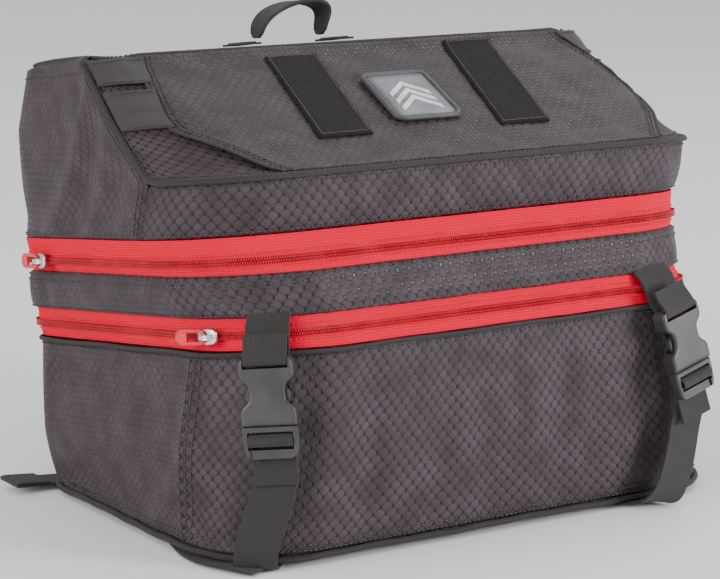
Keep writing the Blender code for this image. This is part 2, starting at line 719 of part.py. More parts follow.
def build_strap_tail(name, frame, body):
    """The free end of the lower webbing: over the plug's middle bar and down behind its end bar."""
    route = ((43.3, 5.6), (43.3, 12.0), (44.4, 13.9), (48.2, 13.9), (49.3, 12.0), (49.2, 6.7),
             (50.2, 4.85), (72.0, 4.85))
    path = [frame.at(0.0, v, n) for v, n in route]
    ribbon_solid(name, path, [frame.across] * len(path), WEBBING_WIDTH, WEBBING, body, "webbing")


def build_lower_strap(name, frame, lower_path, lower_across):
    """The lower webbing: from behind the plug down the bag's front and on under its base."""
    path = [frame.at(0.0, v, 2.8) for v in (53.0, 64.0)] + lower_path
    across = [frame.across] * 2 + lower_across
    ribbon_solid(name, path, across, WEBBING_WIDTH, WEBBING, "bag", "webbing")


LEFT_FACING = math.radians(180.0 + 47.0)
RIGHT_FACING = math.radians(-84.0)
BUCKLE_TOP = 116.5
LEFT_STRAP = StrapFrame((-154.0, 1.2, BUCKLE_TOP), LEFT_FACING, 0.0)
RIGHT_STRAP = StrapFrame((111.0, -18.6, BUCKLE_TOP), RIGHT_FACING, math.radians(14.0))


def floor_point(x, y, rise=WEBBING / 2.0):
    """A point of the webbing's middle where it lies on the floor, or a little above it."""
    return base_point(x, y, rise - SEAT_HEIGHT)


def floor_direction(x, y):
    """A direction along the floor, which slopes in the bag frame."""
    return Vector((x, y * math.cos(LEAN), y * math.sin(LEAN)))


def build_buckle_straps():
    across = LEFT_STRAP.across
    level = floor_direction(across.x, across.y)
    route = ((-3.4, 78.0, 2.8), (-9.0, 92.0, 2.6), (-14.0, 105.0, 2.8), (-15.5, 113.0, 2.6),
             (-16.0, 118.6, 1.8))
    left_path = [LEFT_STRAP.at(*place) for place in route]
    left_across = [across] * len(left_path)
    for inwards, rise in ((2.0, 1.1), (12.0, 0.8), (76.0, 0.8)):
        under = LEFT_STRAP.at(-16.0, 0.0, -inwards)
        left_path.append(floor_point(under.x, under.y, rise))
        left_across.append(level)
    build_lower_strap("left_lower_strap", LEFT_STRAP, left_path, left_across)
    right_path = [Vector((123.0, -17.5, 44.0)), Vector((119.0, -17.5, 27.0)), Vector((113.0, -17.0, 11.0)),
                  Vector((107.0, -14.5, -1.0)), floor_point(101.0, 0.0, 1.9), floor_point(97.0, 26.0),
                  floor_point(95.0, 90.0)]
    right_across = [Vector((0.95, 0.1, -0.24)), Vector((0.93, 0.1, -0.3)), Vector((0.9, 0.1, -0.4)),
                    Vector((0.9, 0.1, -0.3)), floor_direction(1.0, 0.1), floor_direction(1.0, 0.1),
                    floor_direction(1.0, 0.05)]
    build_lower_strap("right_lower_strap", RIGHT_STRAP, right_path, right_across)

    for side_name, frame, offset in (("left", LEFT_STRAP, 0.0), ("right", RIGHT_STRAP, 6.0)):
        body = side_name + "_plug_axis"
        build_upper_strap(side_name + "_upper_strap", frame, offset)
        build_socket(side_name + "_buckle_socket", frame)
        build_plug(side_name + "_buckle_plug", frame, body)
        build_strap_tail(side_name + "_strap_tail", frame, body)
        for prong_name, side in (("inner", -1.0), ("outer", 1.0)):
            prong_body = side_name + "_prong_" + prong_name + "_axis"
            build_prong(side_name + "_prong_" + prong_name, frame, side, prong_body)

    rear_y, reach = 236.0, 209.0
    path = [floor_point(x, rear_y) for x in (-reach, -120.0, 120.0, reach)]
    across = [floor_direction(0.0, 1.0)] * 4
    ribbon_solid("rear_strap", path, across, WEBBING_WIDTH, WEBBING, "bag", "webbing")


# ---------------------------------------------------------------- zip sliders

def build_slider(name, body, out, travel, centre):
    """A slider plate over the closed coil, with the bridge that holds its pull."""
    out, travel = Vector(out).normalized(), Vector(travel).normalized()
    up = Vector((0.0, 0.0, 1.0))
    us = (-6.5, -4.0, -2.4, 2.4, 4.0, 6.5)
    vs = (-4.6, -1.6, 1.6, 4.6)
    ns = (0.0, 2.6, 4.8, 6.2)

    def filled(u, v, n):
        if n < 2.6:
            return True
        if abs(v) > 1.6:
            return False
        if n < 4.8:
            return 2.4 < abs(u) < 4.0
        return abs(u) < 4.0

    def place(u, v, n):
        narrow = 0.8 if abs(u) > 6.0 else 1.0
        return Vector(centre) + travel * u + up * v * narrow + out * n

    return cell_solid(name, (us, vs, ns), filled, place, body, "slider_metal")


def build_pull(name, body, out, travel, centre, length):
    """A flat ring pull that passes under the slider's bridge and lies back along the zip."""
    out, travel = Vector(out).normalized(), Vector(travel).normalized()
    up = Vector((0.0, 0.0, 1.0))
    us = (0.0, 1.4, length - 2.4, length)
    vs = (-4.6, -2.6, 2.6, 4.6)

    def filled(u, v, n):
        return not (1.4 < u < length - 2.4 and abs(v) < 2.6)

    def place(u, v, n):
        return Vector(centre) + travel * (u - 0.7) + up * v + out * n

    return cell_solid(name, (us, vs, (-0.7, 0.7)), filled, place, body, "red_pull")


UPPER_SLIDER_Y = 203.0
LOWER_SLIDER_TURN = math.radians(22.0)


def slider_places():
    """For each slider: outward direction, travel direction to the rear, and its inner centre."""
    clear = COIL_DEPTH + COIL_RISE + 0.4
    upper = level_at(UPPER_COIL)
    lower = level_at(LOWER_COIL)
    flare = 1.6
    upper_centre = Vector((MIDDLE_X - upper[1] - clear - flare, UPPER_SLIDER_Y, UPPER_COIL))
    corner = Vector((MIDDLE_X - lower[1] + lower[4], lower[2] + lower[4], LOWER_COIL))
    out = Vector((-math.cos(LOWER_SLIDER_TURN), -math.sin(LOWER_SLIDER_TURN), 0.0))
    back = Vector((-math.sin(LOWER_SLIDER_TURN), math.cos(LOWER_SLIDER_TURN), 0.0))
    lower_centre = corner + out * (lower[4] + clear + flare)
    return {
        "upper": (Vector((-1.0, 0.0, 0.0)), Vector((0.0, 1.0, 0.0)), upper_centre, upper_centre),
        "lower": (out, back, lower_centre, corner),
    }


def build_sliders():
    for name, (out, back, centre, _) in slider_places().items():
        build_slider(name + "_zip_slider", name + "_slider_axis", out, back, centre)
        build_pull(name + "_zip_pull", name + "_pull_axis", out, back, centre + out * 3.7, 22.0)


# ---------------------------------------------------------------- joints' axes

def build_axes():
    bag = make_axis("bag", (0.0, 0.0, 0.0), None)
    bag.rotation_euler = (-LEAN, 0.0, 0.0)
    bag.location = (ORIGIN_X * 0.001, ORIGIN_Y * 0.001, SEAT_HEIGHT * 0.001)
    make_axis("band_axis", (0.0, 128.0, BAND_BOTTOM), "bag")
    make_axis("lid_axis", (0.0, HINGE_Y, HINGE_HEIGHT), "band_axis")
    make_axis("handle_axis", (HANDLE_X, HANDLE_Y, HANDLE_FOOT), "lid_axis")
    for name, (out, _, centre, pivot) in slider_places().items():
        parent = "band_axis" if name == "upper" else "bag"
        make_axis(name + "_slider_axis", pivot, parent)
        make_axis(name + "_pull_axis", centre + out * 3.7, name + "_slider_axis")
    for name, frame in (("left", LEFT_STRAP), ("right", RIGHT_STRAP)):
        make_axis(name + "_plug_axis", frame.at(0.0, PLUG_TOP, BUCKLE_BACK + PRONG_MIDDLE), "band_axis")
        for prong_name, side in (("inner", -1.0), ("outer", 1.0)):
            pivot = frame.at(side * PRONG_PIVOT_U, PRONG_ROOT, BUCKLE_BACK + PRONG_MIDDLE)
            make_axis(name + "_prong_" + prong_name + "_axis", pivot, name + "_plug_axis")


def build_bag():
    clear_scene()
    build_axes()
    build_lower_body()
    build_zip("lower_zip", BODY_TOP + FOLD, LOWER_COIL, BAND_BOTTOM - GAP, "bag", "band_axis")
    build_zip("upper_zip", BAND_TOP + FOLD, UPPER_COIL, LID_BOTTOM - FOLD, "band_axis", "lid_axis")
    build_band()
    build_lid_shell()
    build_lid_trim()
    build_handle()
    build_buckle_straps()
    build_sliders()


build_bag()
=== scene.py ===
"""The looks of the strap-down motorcycle bag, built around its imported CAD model.

Shapes are drawn in the bag's own frame, in millimetres: +X right, +Y back, +Z up from the base
seam, with level zips. The frame's joints say how that frame stands in the model's.
"""

import json
import math

import bmesh
import bpy
import numpy as np
from mathutils import Matrix, Vector


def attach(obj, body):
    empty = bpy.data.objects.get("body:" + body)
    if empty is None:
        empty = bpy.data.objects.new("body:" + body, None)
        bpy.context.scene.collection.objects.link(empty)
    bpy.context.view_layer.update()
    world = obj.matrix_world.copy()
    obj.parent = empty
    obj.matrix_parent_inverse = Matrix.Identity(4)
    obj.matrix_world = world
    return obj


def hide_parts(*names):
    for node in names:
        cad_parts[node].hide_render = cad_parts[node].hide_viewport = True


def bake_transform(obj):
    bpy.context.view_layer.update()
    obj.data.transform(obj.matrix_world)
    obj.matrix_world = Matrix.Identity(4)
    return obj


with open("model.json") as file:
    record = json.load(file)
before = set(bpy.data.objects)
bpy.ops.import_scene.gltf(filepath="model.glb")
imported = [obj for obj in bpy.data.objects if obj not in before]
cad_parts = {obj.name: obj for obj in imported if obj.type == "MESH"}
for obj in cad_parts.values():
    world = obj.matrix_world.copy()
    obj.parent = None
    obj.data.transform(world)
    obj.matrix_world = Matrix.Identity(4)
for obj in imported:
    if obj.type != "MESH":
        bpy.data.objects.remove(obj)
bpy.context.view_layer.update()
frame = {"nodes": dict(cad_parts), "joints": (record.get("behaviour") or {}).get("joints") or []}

# ---------------------------------------------------------------- where the bag stands

JOINTS = {joint["name"]: joint for joint in frame["joints"]}
UP = Vector(JOINTS["expansion"]["axis"])
LEAN = math.atan2(UP.y, UP.z)
HINGE_Y = 262.4
HINGE_HEIGHT = 170.5
TURN = Matrix.Rotation(-LEAN, 4, "X")
HINGE_PLACE = Vector(JOINTS["lid_hinge"]["pos_m"]) * 1000.0
SHIFT = HINGE_PLACE - TURN @ Vector((0.0, HINGE_Y, HINGE_HEIGHT))
TO_WORLD = Matrix.Translation(SHIFT) @ TURN
TO_BAG = TO_WORLD.inverted()
WORLD_ROTATION = np.array(TURN.to_3x3())
WORLD_SHIFT = np.array(SHIFT)

# The outline at each level, as in the CAD model: half width, front, back, front and back corner
BASE_BLEND = 62.0            # below this height the body follows the sloping base
BODY_TOP = 118.0
BAND_BOTTOM = 137.0
BAND_TOP = 160.0
LID_BOTTOM = 181.0
LID_SEAM = 214.0
SHOULDER = 250.0
RIDGE = 287.0
CREST = 290.0
LOWER_COIL = 127.5
UPPER_COIL = 168.0
LEVELS = np.array((
    (0.0, 179.0, 6.0, 246.0, 54.0, 40.0),
    (BASE_BLEND, 177.0, -8.0, 263.0, 64.0, 42.0),
    (BODY_TOP, 169.0, -17.0, 276.0, 68.0, 42.0),
    (BAND_BOTTOM, 173.0, -5.0, 273.0, 70.0, 42.0),
    (BAND_TOP, 177.0, 1.0, 266.0, 70.0, 42.0),
    (LID_BOTTOM, 185.5, 9.0, 255.0, 68.0, 42.0),
    (LID_SEAM, 185.0, -1.0, 260.0, 60.0, 42.0),
    (SHOULDER, 183.0, 62.0, 261.0, 40.0, 40.0),
    (RIDGE, 178.0, 127.0, 250.0, 18.0, 36.0),
    (CREST, 173.0, 141.0, 226.0, 8.0, 30.0),
))
MIDDLE_X = -4.0
SEAT_HEIGHT = 6.0
ZIP_END = 3.9


def to_world(points):
    """Bag frame millimetres to model metres."""
    return (np.asarray(points, float) @ WORLD_ROTATION.T + WORLD_SHIFT) * 0.001


def shell(height, station, proud=0.0):
    """Points on the bag's outline. Stations run 0 front centre, 1 to 2 the front corner, 3 to 4
    the back corner, 5 back centre: negative on the left, past 5 on round the back."""
    height, station, proud = np.broadcast_arrays(*(np.asarray(a, float) for a in (height, station, proud)))
    half, front, back, front_r, back_r = (np.interp(height, LEVELS[:, 0], LEVELS[:, c]) for c in range(1, 6))
    station = np.where(station > 5.0, station - 10.0, station)
    side = np.where(station < 0.0, -1.0, 1.0)
    travel = abs(station)
    front_turn, back_turn = (travel - 1.0) * math.pi / 2, (travel - 3.0) * math.pi / 2
    stretch = [travel <= 1.0, travel <= 2.0, travel <= 3.0, travel <= 4.0]
    nx = np.select(stretch, [0 * travel, np.sin(front_turn), 1 + 0 * travel, np.cos(back_turn)], 0.0)
    ny = np.select(stretch, [-1 + 0 * travel, -np.cos(front_turn), 0 * travel, np.sin(back_turn)], 1.0)
    low, high = front + front_r, back - back_r
    x = np.select(stretch, [travel * (half - front_r), half - front_r + nx * front_r, half,
                            half - back_r + nx * back_r], (5.0 - travel) * (half - back_r))
    y = np.select(stretch, [front, low + ny * front_r, low + (travel - 2.0) * (high - low),
                            high + ny * back_r], back)
    return np.stack([MIDDLE_X + side * (x + nx * proud), y + ny * proud, height], -1)


def body_shell(height, station, proud=0.0):
    """The outline of the lower body, whose bottom follows the sloping base."""
    points = shell(height, station, proud)
    share = np.clip(1.0 - points[..., 2] / BASE_BLEND, 0.0, 1.0)
    points[..., 2] += points[..., 1] * math.tan(LEAN) * share
    return points


def distances(points):
    """How far along a line of points each of them is."""
    return np.concatenate([[0.0], np.cumsum(np.linalg.norm(np.diff(points, axis=0), axis=1))])


def unit(vectors):
    """The same directions, each of length one."""
    return vectors / np.linalg.norm(vectors, axis=1, keepdims=True)


def read_along(along, length, field):
    """A field of vectors known at each length, read at other distances along the line."""
    return np.stack([np.interp(along, length, field[:, k]) for k in range(3)], -1)


def spaced_stations(start, end, height, step, edge=True):
    """Stations a step apart along the outline, closer at both ends where the seams are."""
    fine = np.linspace(start, end, 600)
    points = shell(height, fine)
    length = distances(points)
    if edge:
        wanted = edged_steps(length[-1], step)
    else:
        wanted = np.linspace(0, length[-1], max(2, int(length[-1] / step)))
    return np.interp(wanted, length, fine), wanted


def edged_steps(length, step):
    """Distances from 0 to length, a step apart, with closer ones beside both ends."""
    near = [0.0, 0.8, 1.6, 2.6]
    count = max(2, int(round((length - 8.0) / step)))
    middle = np.linspace(4.0, length - 4.0, count + 1)
    return np.concatenate([near, middle, length - np.array(near[::-1])])


# ---------------------------------------------------------------- meshes

def make_object(name, points, faces, body, material, replaces=(), smooth=True, weave=None):
    """A mesh from bag frame points, riding on a body."""
    mesh = bpy.data.meshes.new(name)
    mesh.from_pydata(to_world(points).tolist(), [], [tuple(int(i) for i in f) for f in faces])
    mesh.materials.append(material)
    if smooth:
        mesh.shade_smooth()
    if weave is not None:
        attribute = mesh.attributes.new("weave", "FLOAT_VECTOR", "POINT")
        attribute.data.foreach_set("vector", np.asarray(weave, np.float32).ravel())
    thing = bpy.data.objects.new(name, mesh)
    bpy.context.scene.collection.objects.link(thing)
    if body:
        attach(thing, body)
    if replaces:
        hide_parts(*replaces)
    return thing


def grid_normals(points):
    """Unit normals of a grid of points, out of the bag."""
    along = np.gradient(points, axis=1)
    upward = np.gradient(points, axis=0)
    normal = np.cross(along, upward)
    return normal / np.maximum(np.linalg.norm(normal, axis=-1, keepdims=True), 1e-9)


def thick_grid(points, thickness):
    """A closed shell's points and faces from its outer grid, thickened inwards."""
    rows, columns = points.shape[:2]
    inner = points - grid_normals(points) * thickness
    both = np.concatenate([points.reshape(-1, 3), inner.reshape(-1, 3)])
    index = np.arange(rows * columns).reshape(rows, columns)
    a, b, c, d = index[:-1, :-1], index[:-1, 1:], index[1:, 1:], index[1:, :-1]
    outer = np.stack([a, b, c, d], -1).reshape(-1, 4)
    hidden = outer[:, ::-1] + rows * columns
    rim = np.concatenate([index[0, :], index[1:, -1], index[-1, -2::-1], index[-2:0:-1, 0]])
    turned = np.roll(rim, -1)
    side = np.stack([turned, rim, rim + rows * columns, turned + rows * columns], -1)
    return both, np.concatenate([outer, hidden, side])


CLOTH_QUALITY = 6
CLOTH_MASS = 0.12
CLOTH_BENDING = 4.0
CLOTH_TENSION = 30.0
UNEVEN = 0.12                # random starting height of the cloth, so that it doesn't swell evenly
SMOOTHING = 3
EDGE_REACH = 4.0             # how far in from its seams a panel begins to move freely


class Panel:
    """A sheet of the bag: a grid of outer points with its distances across and up, in mm."""

    def __init__(self, name, points, across, upward):
        self.name = name
        self.points = points
        self.across = across
        self.upward = upward

    def edge_distance(self):
        """Distance of each grid point to the nearest border."""
        u = np.minimum(self.across - self.across[0], self.across[-1] - self.across)
        v = np.minimum(self.upward - self.upward[0], self.upward[-1] - self.upward)
        return np.minimum(u[None, :], v[:, None])

    def soften(self, grow, pressure, cap, frames=14, seed=0):
        """Cloth simulation with the borders held, so that the panel sags and puckers."""
        rows, columns = self.points.shape[:2]
        index = np.arange(rows * columns).reshape(rows, columns)
        faces = np.stack([index[:-1, :-1], index[:-1, 1:], index[1:, 1:], index[1:, :-1]], -1).reshape(-1, 4)
        noise = np.random.default_rng(seed).normal(0.0, UNEVEN, (rows, columns, 1))
        start = self.points + grid_normals(self.points) * noise
        mesh = bpy.data.meshes.new("cloth")
        mesh.from_pydata(to_world(start.reshape(-1, 3)).tolist(), [], faces.tolist())
        cloth = bpy.data.objects.new("cloth", mesh)
        bpy.context.scene.collection.objects.link(cloth)
        pins = cloth.vertex_groups.new(name="held")
        border = np.concatenate([index[0], index[-1], index[:, 0], index[:, -1]])
        pins.add([int(i) for i in border], 1.0, "REPLACE")
        settings = cloth.modifiers.new("Cloth", "CLOTH").settings
        settings.vertex_group_mass = "held"
        settings.quality = CLOTH_QUALITY
        settings.mass = CLOTH_MASS
        settings.shrink_min = -grow
        settings.use_pressure = True
        settings.uniform_pressure_force = pressure
        settings.bending_stiffness = CLOTH_BENDING
        settings.tension_stiffness = CLOTH_TENSION
        settings.compression_stiffness = CLOTH_TENSION
        scene = bpy.context.scene
        for number in range(1, frames + 1):
            scene.frame_set(number)
        scene_graph = bpy.context.evaluated_depsgraph_get()
        moved = cloth.evaluated_get(scene_graph).to_mesh()
        flat = np.zeros(rows * columns * 3, np.float32)
        moved.vertices.foreach_get("co", flat)
        result = (flat.reshape(-1, 3) * 1000.0 - WORLD_SHIFT) @ WORLD_ROTATION
        bpy.data.objects.remove(cloth)
        bpy.data.meshes.remove(mesh)
        scene.frame_set(1)
        travel = result.reshape(rows, columns, 3) - self.points
        size = np.linalg.norm(travel, axis=-1, keepdims=True)
        travel = travel * np.minimum(1.0, cap / np.maximum(size, 1e-6))
        for _ in range(SMOOTHING):
            wide = np.pad(travel, ((1, 1), (1, 1), (0, 0)), "edge")
            travel = (wide[:-2, 1:-1] + wide[2:, 1:-1] + wide[1:-1, :-2] + wide[1:-1, 2:]
                      + 4.0 * travel) / 8.0
        near = 1.0 - np.exp(-(self.edge_distance() / EDGE_REACH) ** 2)
        self.points = self.points + travel * near[..., None]
        return self

    def crease(self, depth, width, sides="lrbt"):
        """Draws the fabric in along its seams."""
        fall = np.zeros(self.points.shape[:2])
        if "l" in sides:
            fall = np.maximum(fall, np.exp(-((self.across - self.across[0]) / width) ** 2)[None, :])
        if "r" in sides:
            fall = np.maximum(fall, np.exp(-((self.across[-1] - self.across) / width) ** 2)[None, :])
        if "b" in sides:
            fall = np.maximum(fall, np.exp(-((self.upward - self.upward[0]) / width) ** 2)[:, None])
        if "t" in sides:
            fall = np.maximum(fall, np.exp(-((self.upward[-1] - self.upward) / width) ** 2)[:, None])
        self.points = self.points - grid_normals(self.points) * (fall * depth)[..., None]
        return self

    def pucker(self, height, pitch, reach, seed):
        """Small gathers square to the top and bottom seams, dying out away from them."""
        u, v = self.across[None, :], self.upward[:, None]
        wave = np.zeros(self.points.shape[:2])
        for k, edge in enumerate((self.upward[0], self.upward[-1])):
            away = abs(v - edge)
            phase = seed + 2.1 * k
            slower = 0.7 * np.sin(u / pitch * 3.7 + 1.7 * phase + away / reach)
            ripple = np.sin(u / pitch * 6.28 + phase) + slower
            ripple = ripple * (0.6 + 0.4 * np.sin(u / 61.0 + phase))
            wave += ripple * np.exp(-away / reach) * (1.0 - np.exp(-away / 2.0))
        self.points = self.points + grid_normals(self.points) * (wave * height)[..., None]
        return self

    def sample(self, u, v, proud=0.0):
        """Places on the finished panel, with normals and the directions along u and v."""
        columns = np.interp(u, self.across, np.arange(len(self.across)))
        rows = np.interp(v, self.upward, np.arange(len(self.upward)))
        normals = grid_normals(self.points)

        def read(field):
            r0 = np.clip(np.floor(rows).astype(int), 0, len(self.upward) - 2)
            c0 = np.clip(np.floor(columns).astype(int), 0, len(self.across) - 2)
            fr, fc = (rows - r0)[:, None], (columns - c0)[:, None]
            low = field[r0, c0] * (1 - fc) + field[r0, c0 + 1] * fc
            high = field[r0 + 1, c0] * (1 - fc) + field[r0 + 1, c0 + 1] * fc
            return low * (1 - fr) + high * fr

        normal = unit(read(normals))
        return read(self.points) + normal * proud, normal

    def finish(self, body, material, thickness, replaces, slot, fill=None):
        """The panel as an object: a closed shell."""
        points, faces = thick_grid(self.points, thickness)
        u, v = np.meshgrid(self.across, self.upward)
        weave = np.stack([u, v, 0 * u], -1).reshape(-1, 3)
        thing = make_object(self.name, points, faces, body, material, replaces,
                            weave=np.concatenate([weave, weave]))
        return thing


def outline_panel(name, start, end, low, high, step=3.6, proud=None, surface=shell, rows=None):
    """A panel that follows the outline between two stations and two heights."""
    middle = (low + high) / 2.0
    stations, across = spaced_stations(start, end, middle, step)
    across = across - across[-1] / 2.0
    heights = edged_steps(high - low, step) + low if rows is None else rows
    upward = heights - low
    swell = 0.0 if proud is None else proud(upward[:, None] / (high - low), across[None, :])
    points = surface(heights[:, None], stations[None, :], swell)
    return Panel(name, points, across, upward), stations


# ---------------------------------------------------------------- materials

class Finish:
    """A Principled material and short ways to add nodes to it."""

    def __init__(self, name, roughness=0.6, metallic=0.0):
        self.material = bpy.data.materials.new(name)
        self.material.use_nodes = True
        self.tree = self.material.node_tree
        self.shader = self.tree.nodes["Principled BSDF"]
        self.set("Roughness", roughness)
        self.set("Metallic", metallic)

    def set(self, socket, value):
        if isinstance(value, bpy.types.NodeSocket):
            self.tree.links.new(value, self.shader.inputs[socket])
        else:
            self.shader.inputs[socket].default_value = value

    def node(self, kind, **inputs):
        made = self.tree.nodes.new(kind)
        for name, value in inputs.items():
            self.plug(made.inputs[name.replace("_", " ")], value)
        return made

    def plug(self, socket, value):
        if isinstance(value, bpy.types.NodeSocket):
            self.tree.links.new(value, socket)
        else:
            socket.default_value = value

    def math(self, operation, *values):
        made = self.tree.nodes.new("ShaderNodeMath")
        made.operation = operation
        for index, value in enumerate(values):
            self.plug(made.inputs[index], value)
        return made.outputs[0]

    def ramp(self, value, low, high):
        """0 at low and below, 1 at high and above, smooth between. low may be above high."""
        made = self.tree.nodes.new("ShaderNodeMapRange")
        made.interpolation_type = "SMOOTHSTEP"
        for name, number in (("Value", value), ("From Min", low), ("From Max", high)):
            self.plug(made.inputs[name], number)
        return made.outputs["Result"]

    def weave(self):
        """Distances across and up the cloth, in millimetres."""
        made = self.tree.nodes.new("ShaderNodeAttribute")
        made.attribute_name = "weave"
        parts = self.node("ShaderNodeSeparateXYZ", Vector=made.outputs["Vector"])
        return made.outputs["Vector"], parts.outputs[0], parts.outputs[1]

    def place(self):
        """Places on the object, in metres."""
        return self.tree.nodes.new("ShaderNodeTexCoord").outputs["Object"]

    def noise(self, vector, scale, detail=3.0, rough=0.55):
        made = self.node("ShaderNodeTexNoise", Vector=vector, Scale=scale, Detail=detail, Roughness=rough)
        return made.outputs["Fac"]

    def blend(self, share, low, high):
        """A colour between two colours."""
        made = self.tree.nodes.new("ShaderNodeMix")
        made.data_type = "RGBA"
        self.plug(made.inputs[0], share)
        for socket, value in ((made.inputs[6], low), (made.inputs[7], high)):
            self.plug(socket, (*value, 1.0) if isinstance(value, tuple) and len(value) == 3 else value)
        return made.outputs[2]

    def bump(self, height, distance, strength=1.0):
        made = self.node("ShaderNodeBump", Height=height, Distance=distance, Strength=strength)
        self.set("Normal", made.outputs["Normal"])


def ripstop(name, light, dark, cell=(7.3, 7.8)):
    """Coated jacquard ripstop: rounded cells with a short glossy dash at each corner."""
    finish = Finish(name, 0.6)
    vector, u, v = finish.weave()
    su, sv = finish.math("DIVIDE", u, cell[0]), finish.math("DIVIDE", v, cell[1])
    dashes = []
    for offset in (0.0, 0.5):
        parts = []
        for value, size in ((su, cell[0] / 0.8), (sv, cell[1] / 1.45)):
            near = finish.math("SUBTRACT", finish.math("FRACT", finish.math("ADD", value, offset)), 0.5)
            parts.append(finish.math("POWER", finish.math("MULTIPLY", near, size), 2.0))
        dashes.append(finish.math("ADD", *parts))
    dash = finish.ramp(finish.math("MINIMUM", *dashes), 1.5, 0.45)
    lines = []
    for turned in ("ADD", "SUBTRACT"):
        slant = finish.math("FRACT", finish.math("ADD", finish.math(turned, su, sv), 100.0))
        lines.append(finish.math("ABSOLUTE", finish.math("SUBTRACT", slant, 0.5)))
    line = finish.ramp(finish.math("MAXIMUM", *lines), 0.33, 0.485)
    waves = [finish.math("COSINE", finish.math("MULTIPLY", value, 2.0 * math.pi)) for value in (su, sv)]
    dome = finish.math("MULTIPLY_ADD", finish.math("MULTIPLY", *waves), -0.5, 0.5)
    patchy = finish.noise(vector, 0.045, 2.0)
    fibre = finish.noise(vector, 2.2, 2.0, 0.6)
    tone = finish.math("ADD", finish.math("MULTIPLY", patchy, 0.5), finish.math("MULTIPLY", fibre, 0.5))
    cloth = finish.blend(finish.ramp(tone, 0.3, 0.7), dark, light)
    lined = finish.blend(finish.math("MULTIPLY", line, 0.6), cloth, tuple(c * 0.4 for c in dark))
    gap = tuple(c * 0.3 for c in dark)
    finish.set("Base Color", finish.blend(finish.math("MULTIPLY", dash, 0.8), lined, gap))
    rough = finish.math("SUBTRACT", 0.72, finish.math("MULTIPLY", dash, 0.38))
    finish.set("Roughness", finish.math("SUBTRACT", rough, finish.math("MULTIPLY", patchy, 0.12)))
    height = finish.math("ADD", finish.math("MULTIPLY", fibre, 0.2), finish.math("MULTIPLY", dome, 0.6))
    finish.bump(finish.math("MULTIPLY_ADD", dash, 1.3, height), 0.00055, 0.8)
    finish.set("Sheen Weight", 0.03)
    finish.set("Specular IOR Level", 0.38)
    finish.set("Sheen Roughness", 0.45)
    return finish.material


def ribbed(name, light, dark, rib, ribs_across, roughness=0.8, sheen=0.25, wear=0.25, shine=0.4):
    """Woven webbing or tape: cross ribs, soft lengthwise rows and a little fuzz."""
    finish = Finish(name, roughness)
    vector, u, v = finish.weave()
    cross = finish.math("SINE", finish.math("MULTIPLY", u, 2.0 * math.pi / rib))
    rows = finish.math("SINE", finish.math("MULTIPLY", v, 2.0 * math.pi / ribs_across))
    fuzz = finish.noise(vector, 1.3, 4.0, 0.65)
    patchy = finish.noise(vector, 0.06, 2.0)
    tone = finish.math("ADD", finish.math("MULTIPLY", cross, 0.10), finish.math("MULTIPLY", rows, 0.12))
    tone = finish.math("ADD", tone, finish.math("MULTIPLY", fuzz, 0.6))
    tone = finish.math("ADD", tone, finish.math("MULTIPLY", patchy, wear))
    finish.set("Base Color", finish.blend(finish.ramp(tone, 0.1, 0.75), dark, light))
    height = finish.math("ADD", finish.math("MULTIPLY", cross, 0.5), finish.math("MULTIPLY", rows, 0.5))
    finish.bump(finish.math("ADD", height, fuzz), 0.00022, 0.7)
    finish.set("Specular IOR Level", shine)
    finish.set("Sheen Weight", sheen)
    finish.set("Sheen Roughness", 0.5)
    return finish.material


def pile(name, colour):
    """Loop pile: tiny tangled loops, very matt."""
    finish = Finish(name, 0.95)
    vector, _, _ = finish.weave()
    loops = finish.node("ShaderNodeTexVoronoi", Vector=vector, Scale=0.9).outputs["Distance"]
    tangle = finish.noise(vector, 1.6, 5.0, 0.7)
    tone = finish.math("ADD", finish.math("MULTIPLY", loops, 0.5), finish.math("MULTIPLY", tangle, 0.6))
    shade = tuple(c * 0.3 for c in colour)
    finish.set("Base Color", finish.blend(finish.ramp(tone, 0.25, 0.75), shade, colour))
    finish.bump(tone, 0.0008, 0.9)
    finish.set("Specular IOR Level", 0.15)
    finish.set("Sheen Weight", 0.03)
    finish.set("Sheen Roughness", 0.6)
    return finish.material


def moulded(name, colour, roughness, grain=900.0, depth=0.00004, wear=None, coat=0.0):
    """Moulded plastic, rubber or plated metal with a fine grain and paler rubbed places."""
    finish = Finish(name, roughness)
    place = finish.place()
    fine = finish.noise(place, grain, 3.0, 0.6)
    smear = finish.noise(place, 60.0, 3.0, 0.5)
    worn = tuple(min(1.0, c * 1.5 + 0.01) for c in colour) if wear is None else wear
    finish.set("Base Color", finish.blend(finish.ramp(smear, 0.35, 0.75), colour, worn))
    rough = finish.math("ADD", roughness - 0.08, finish.math("MULTIPLY", smear, 0.2))
    finish.set("Roughness", rough)
    finish.bump(fine, depth, 0.6)
    finish.set("Coat Weight", coat)
    return finish.material


def metal(name, colour, roughness):
    """Plated metal with fine scratches."""
    finish = Finish(name, roughness, 1.0)
    place = finish.place()
    scratch = finish.noise(place, 420.0, 4.0, 0.7)
    shade = tuple(c * 0.75 for c in colour)
    finish.set("Base Color", finish.blend(finish.ramp(scratch, 0.3, 0.8), shade, colour))
    finish.set("Roughness", finish.math("ADD", roughness, finish.math("MULTIPLY", scratch, 0.18)))
    finish.bump(scratch, 0.00005, 0.4)
    return finish.material


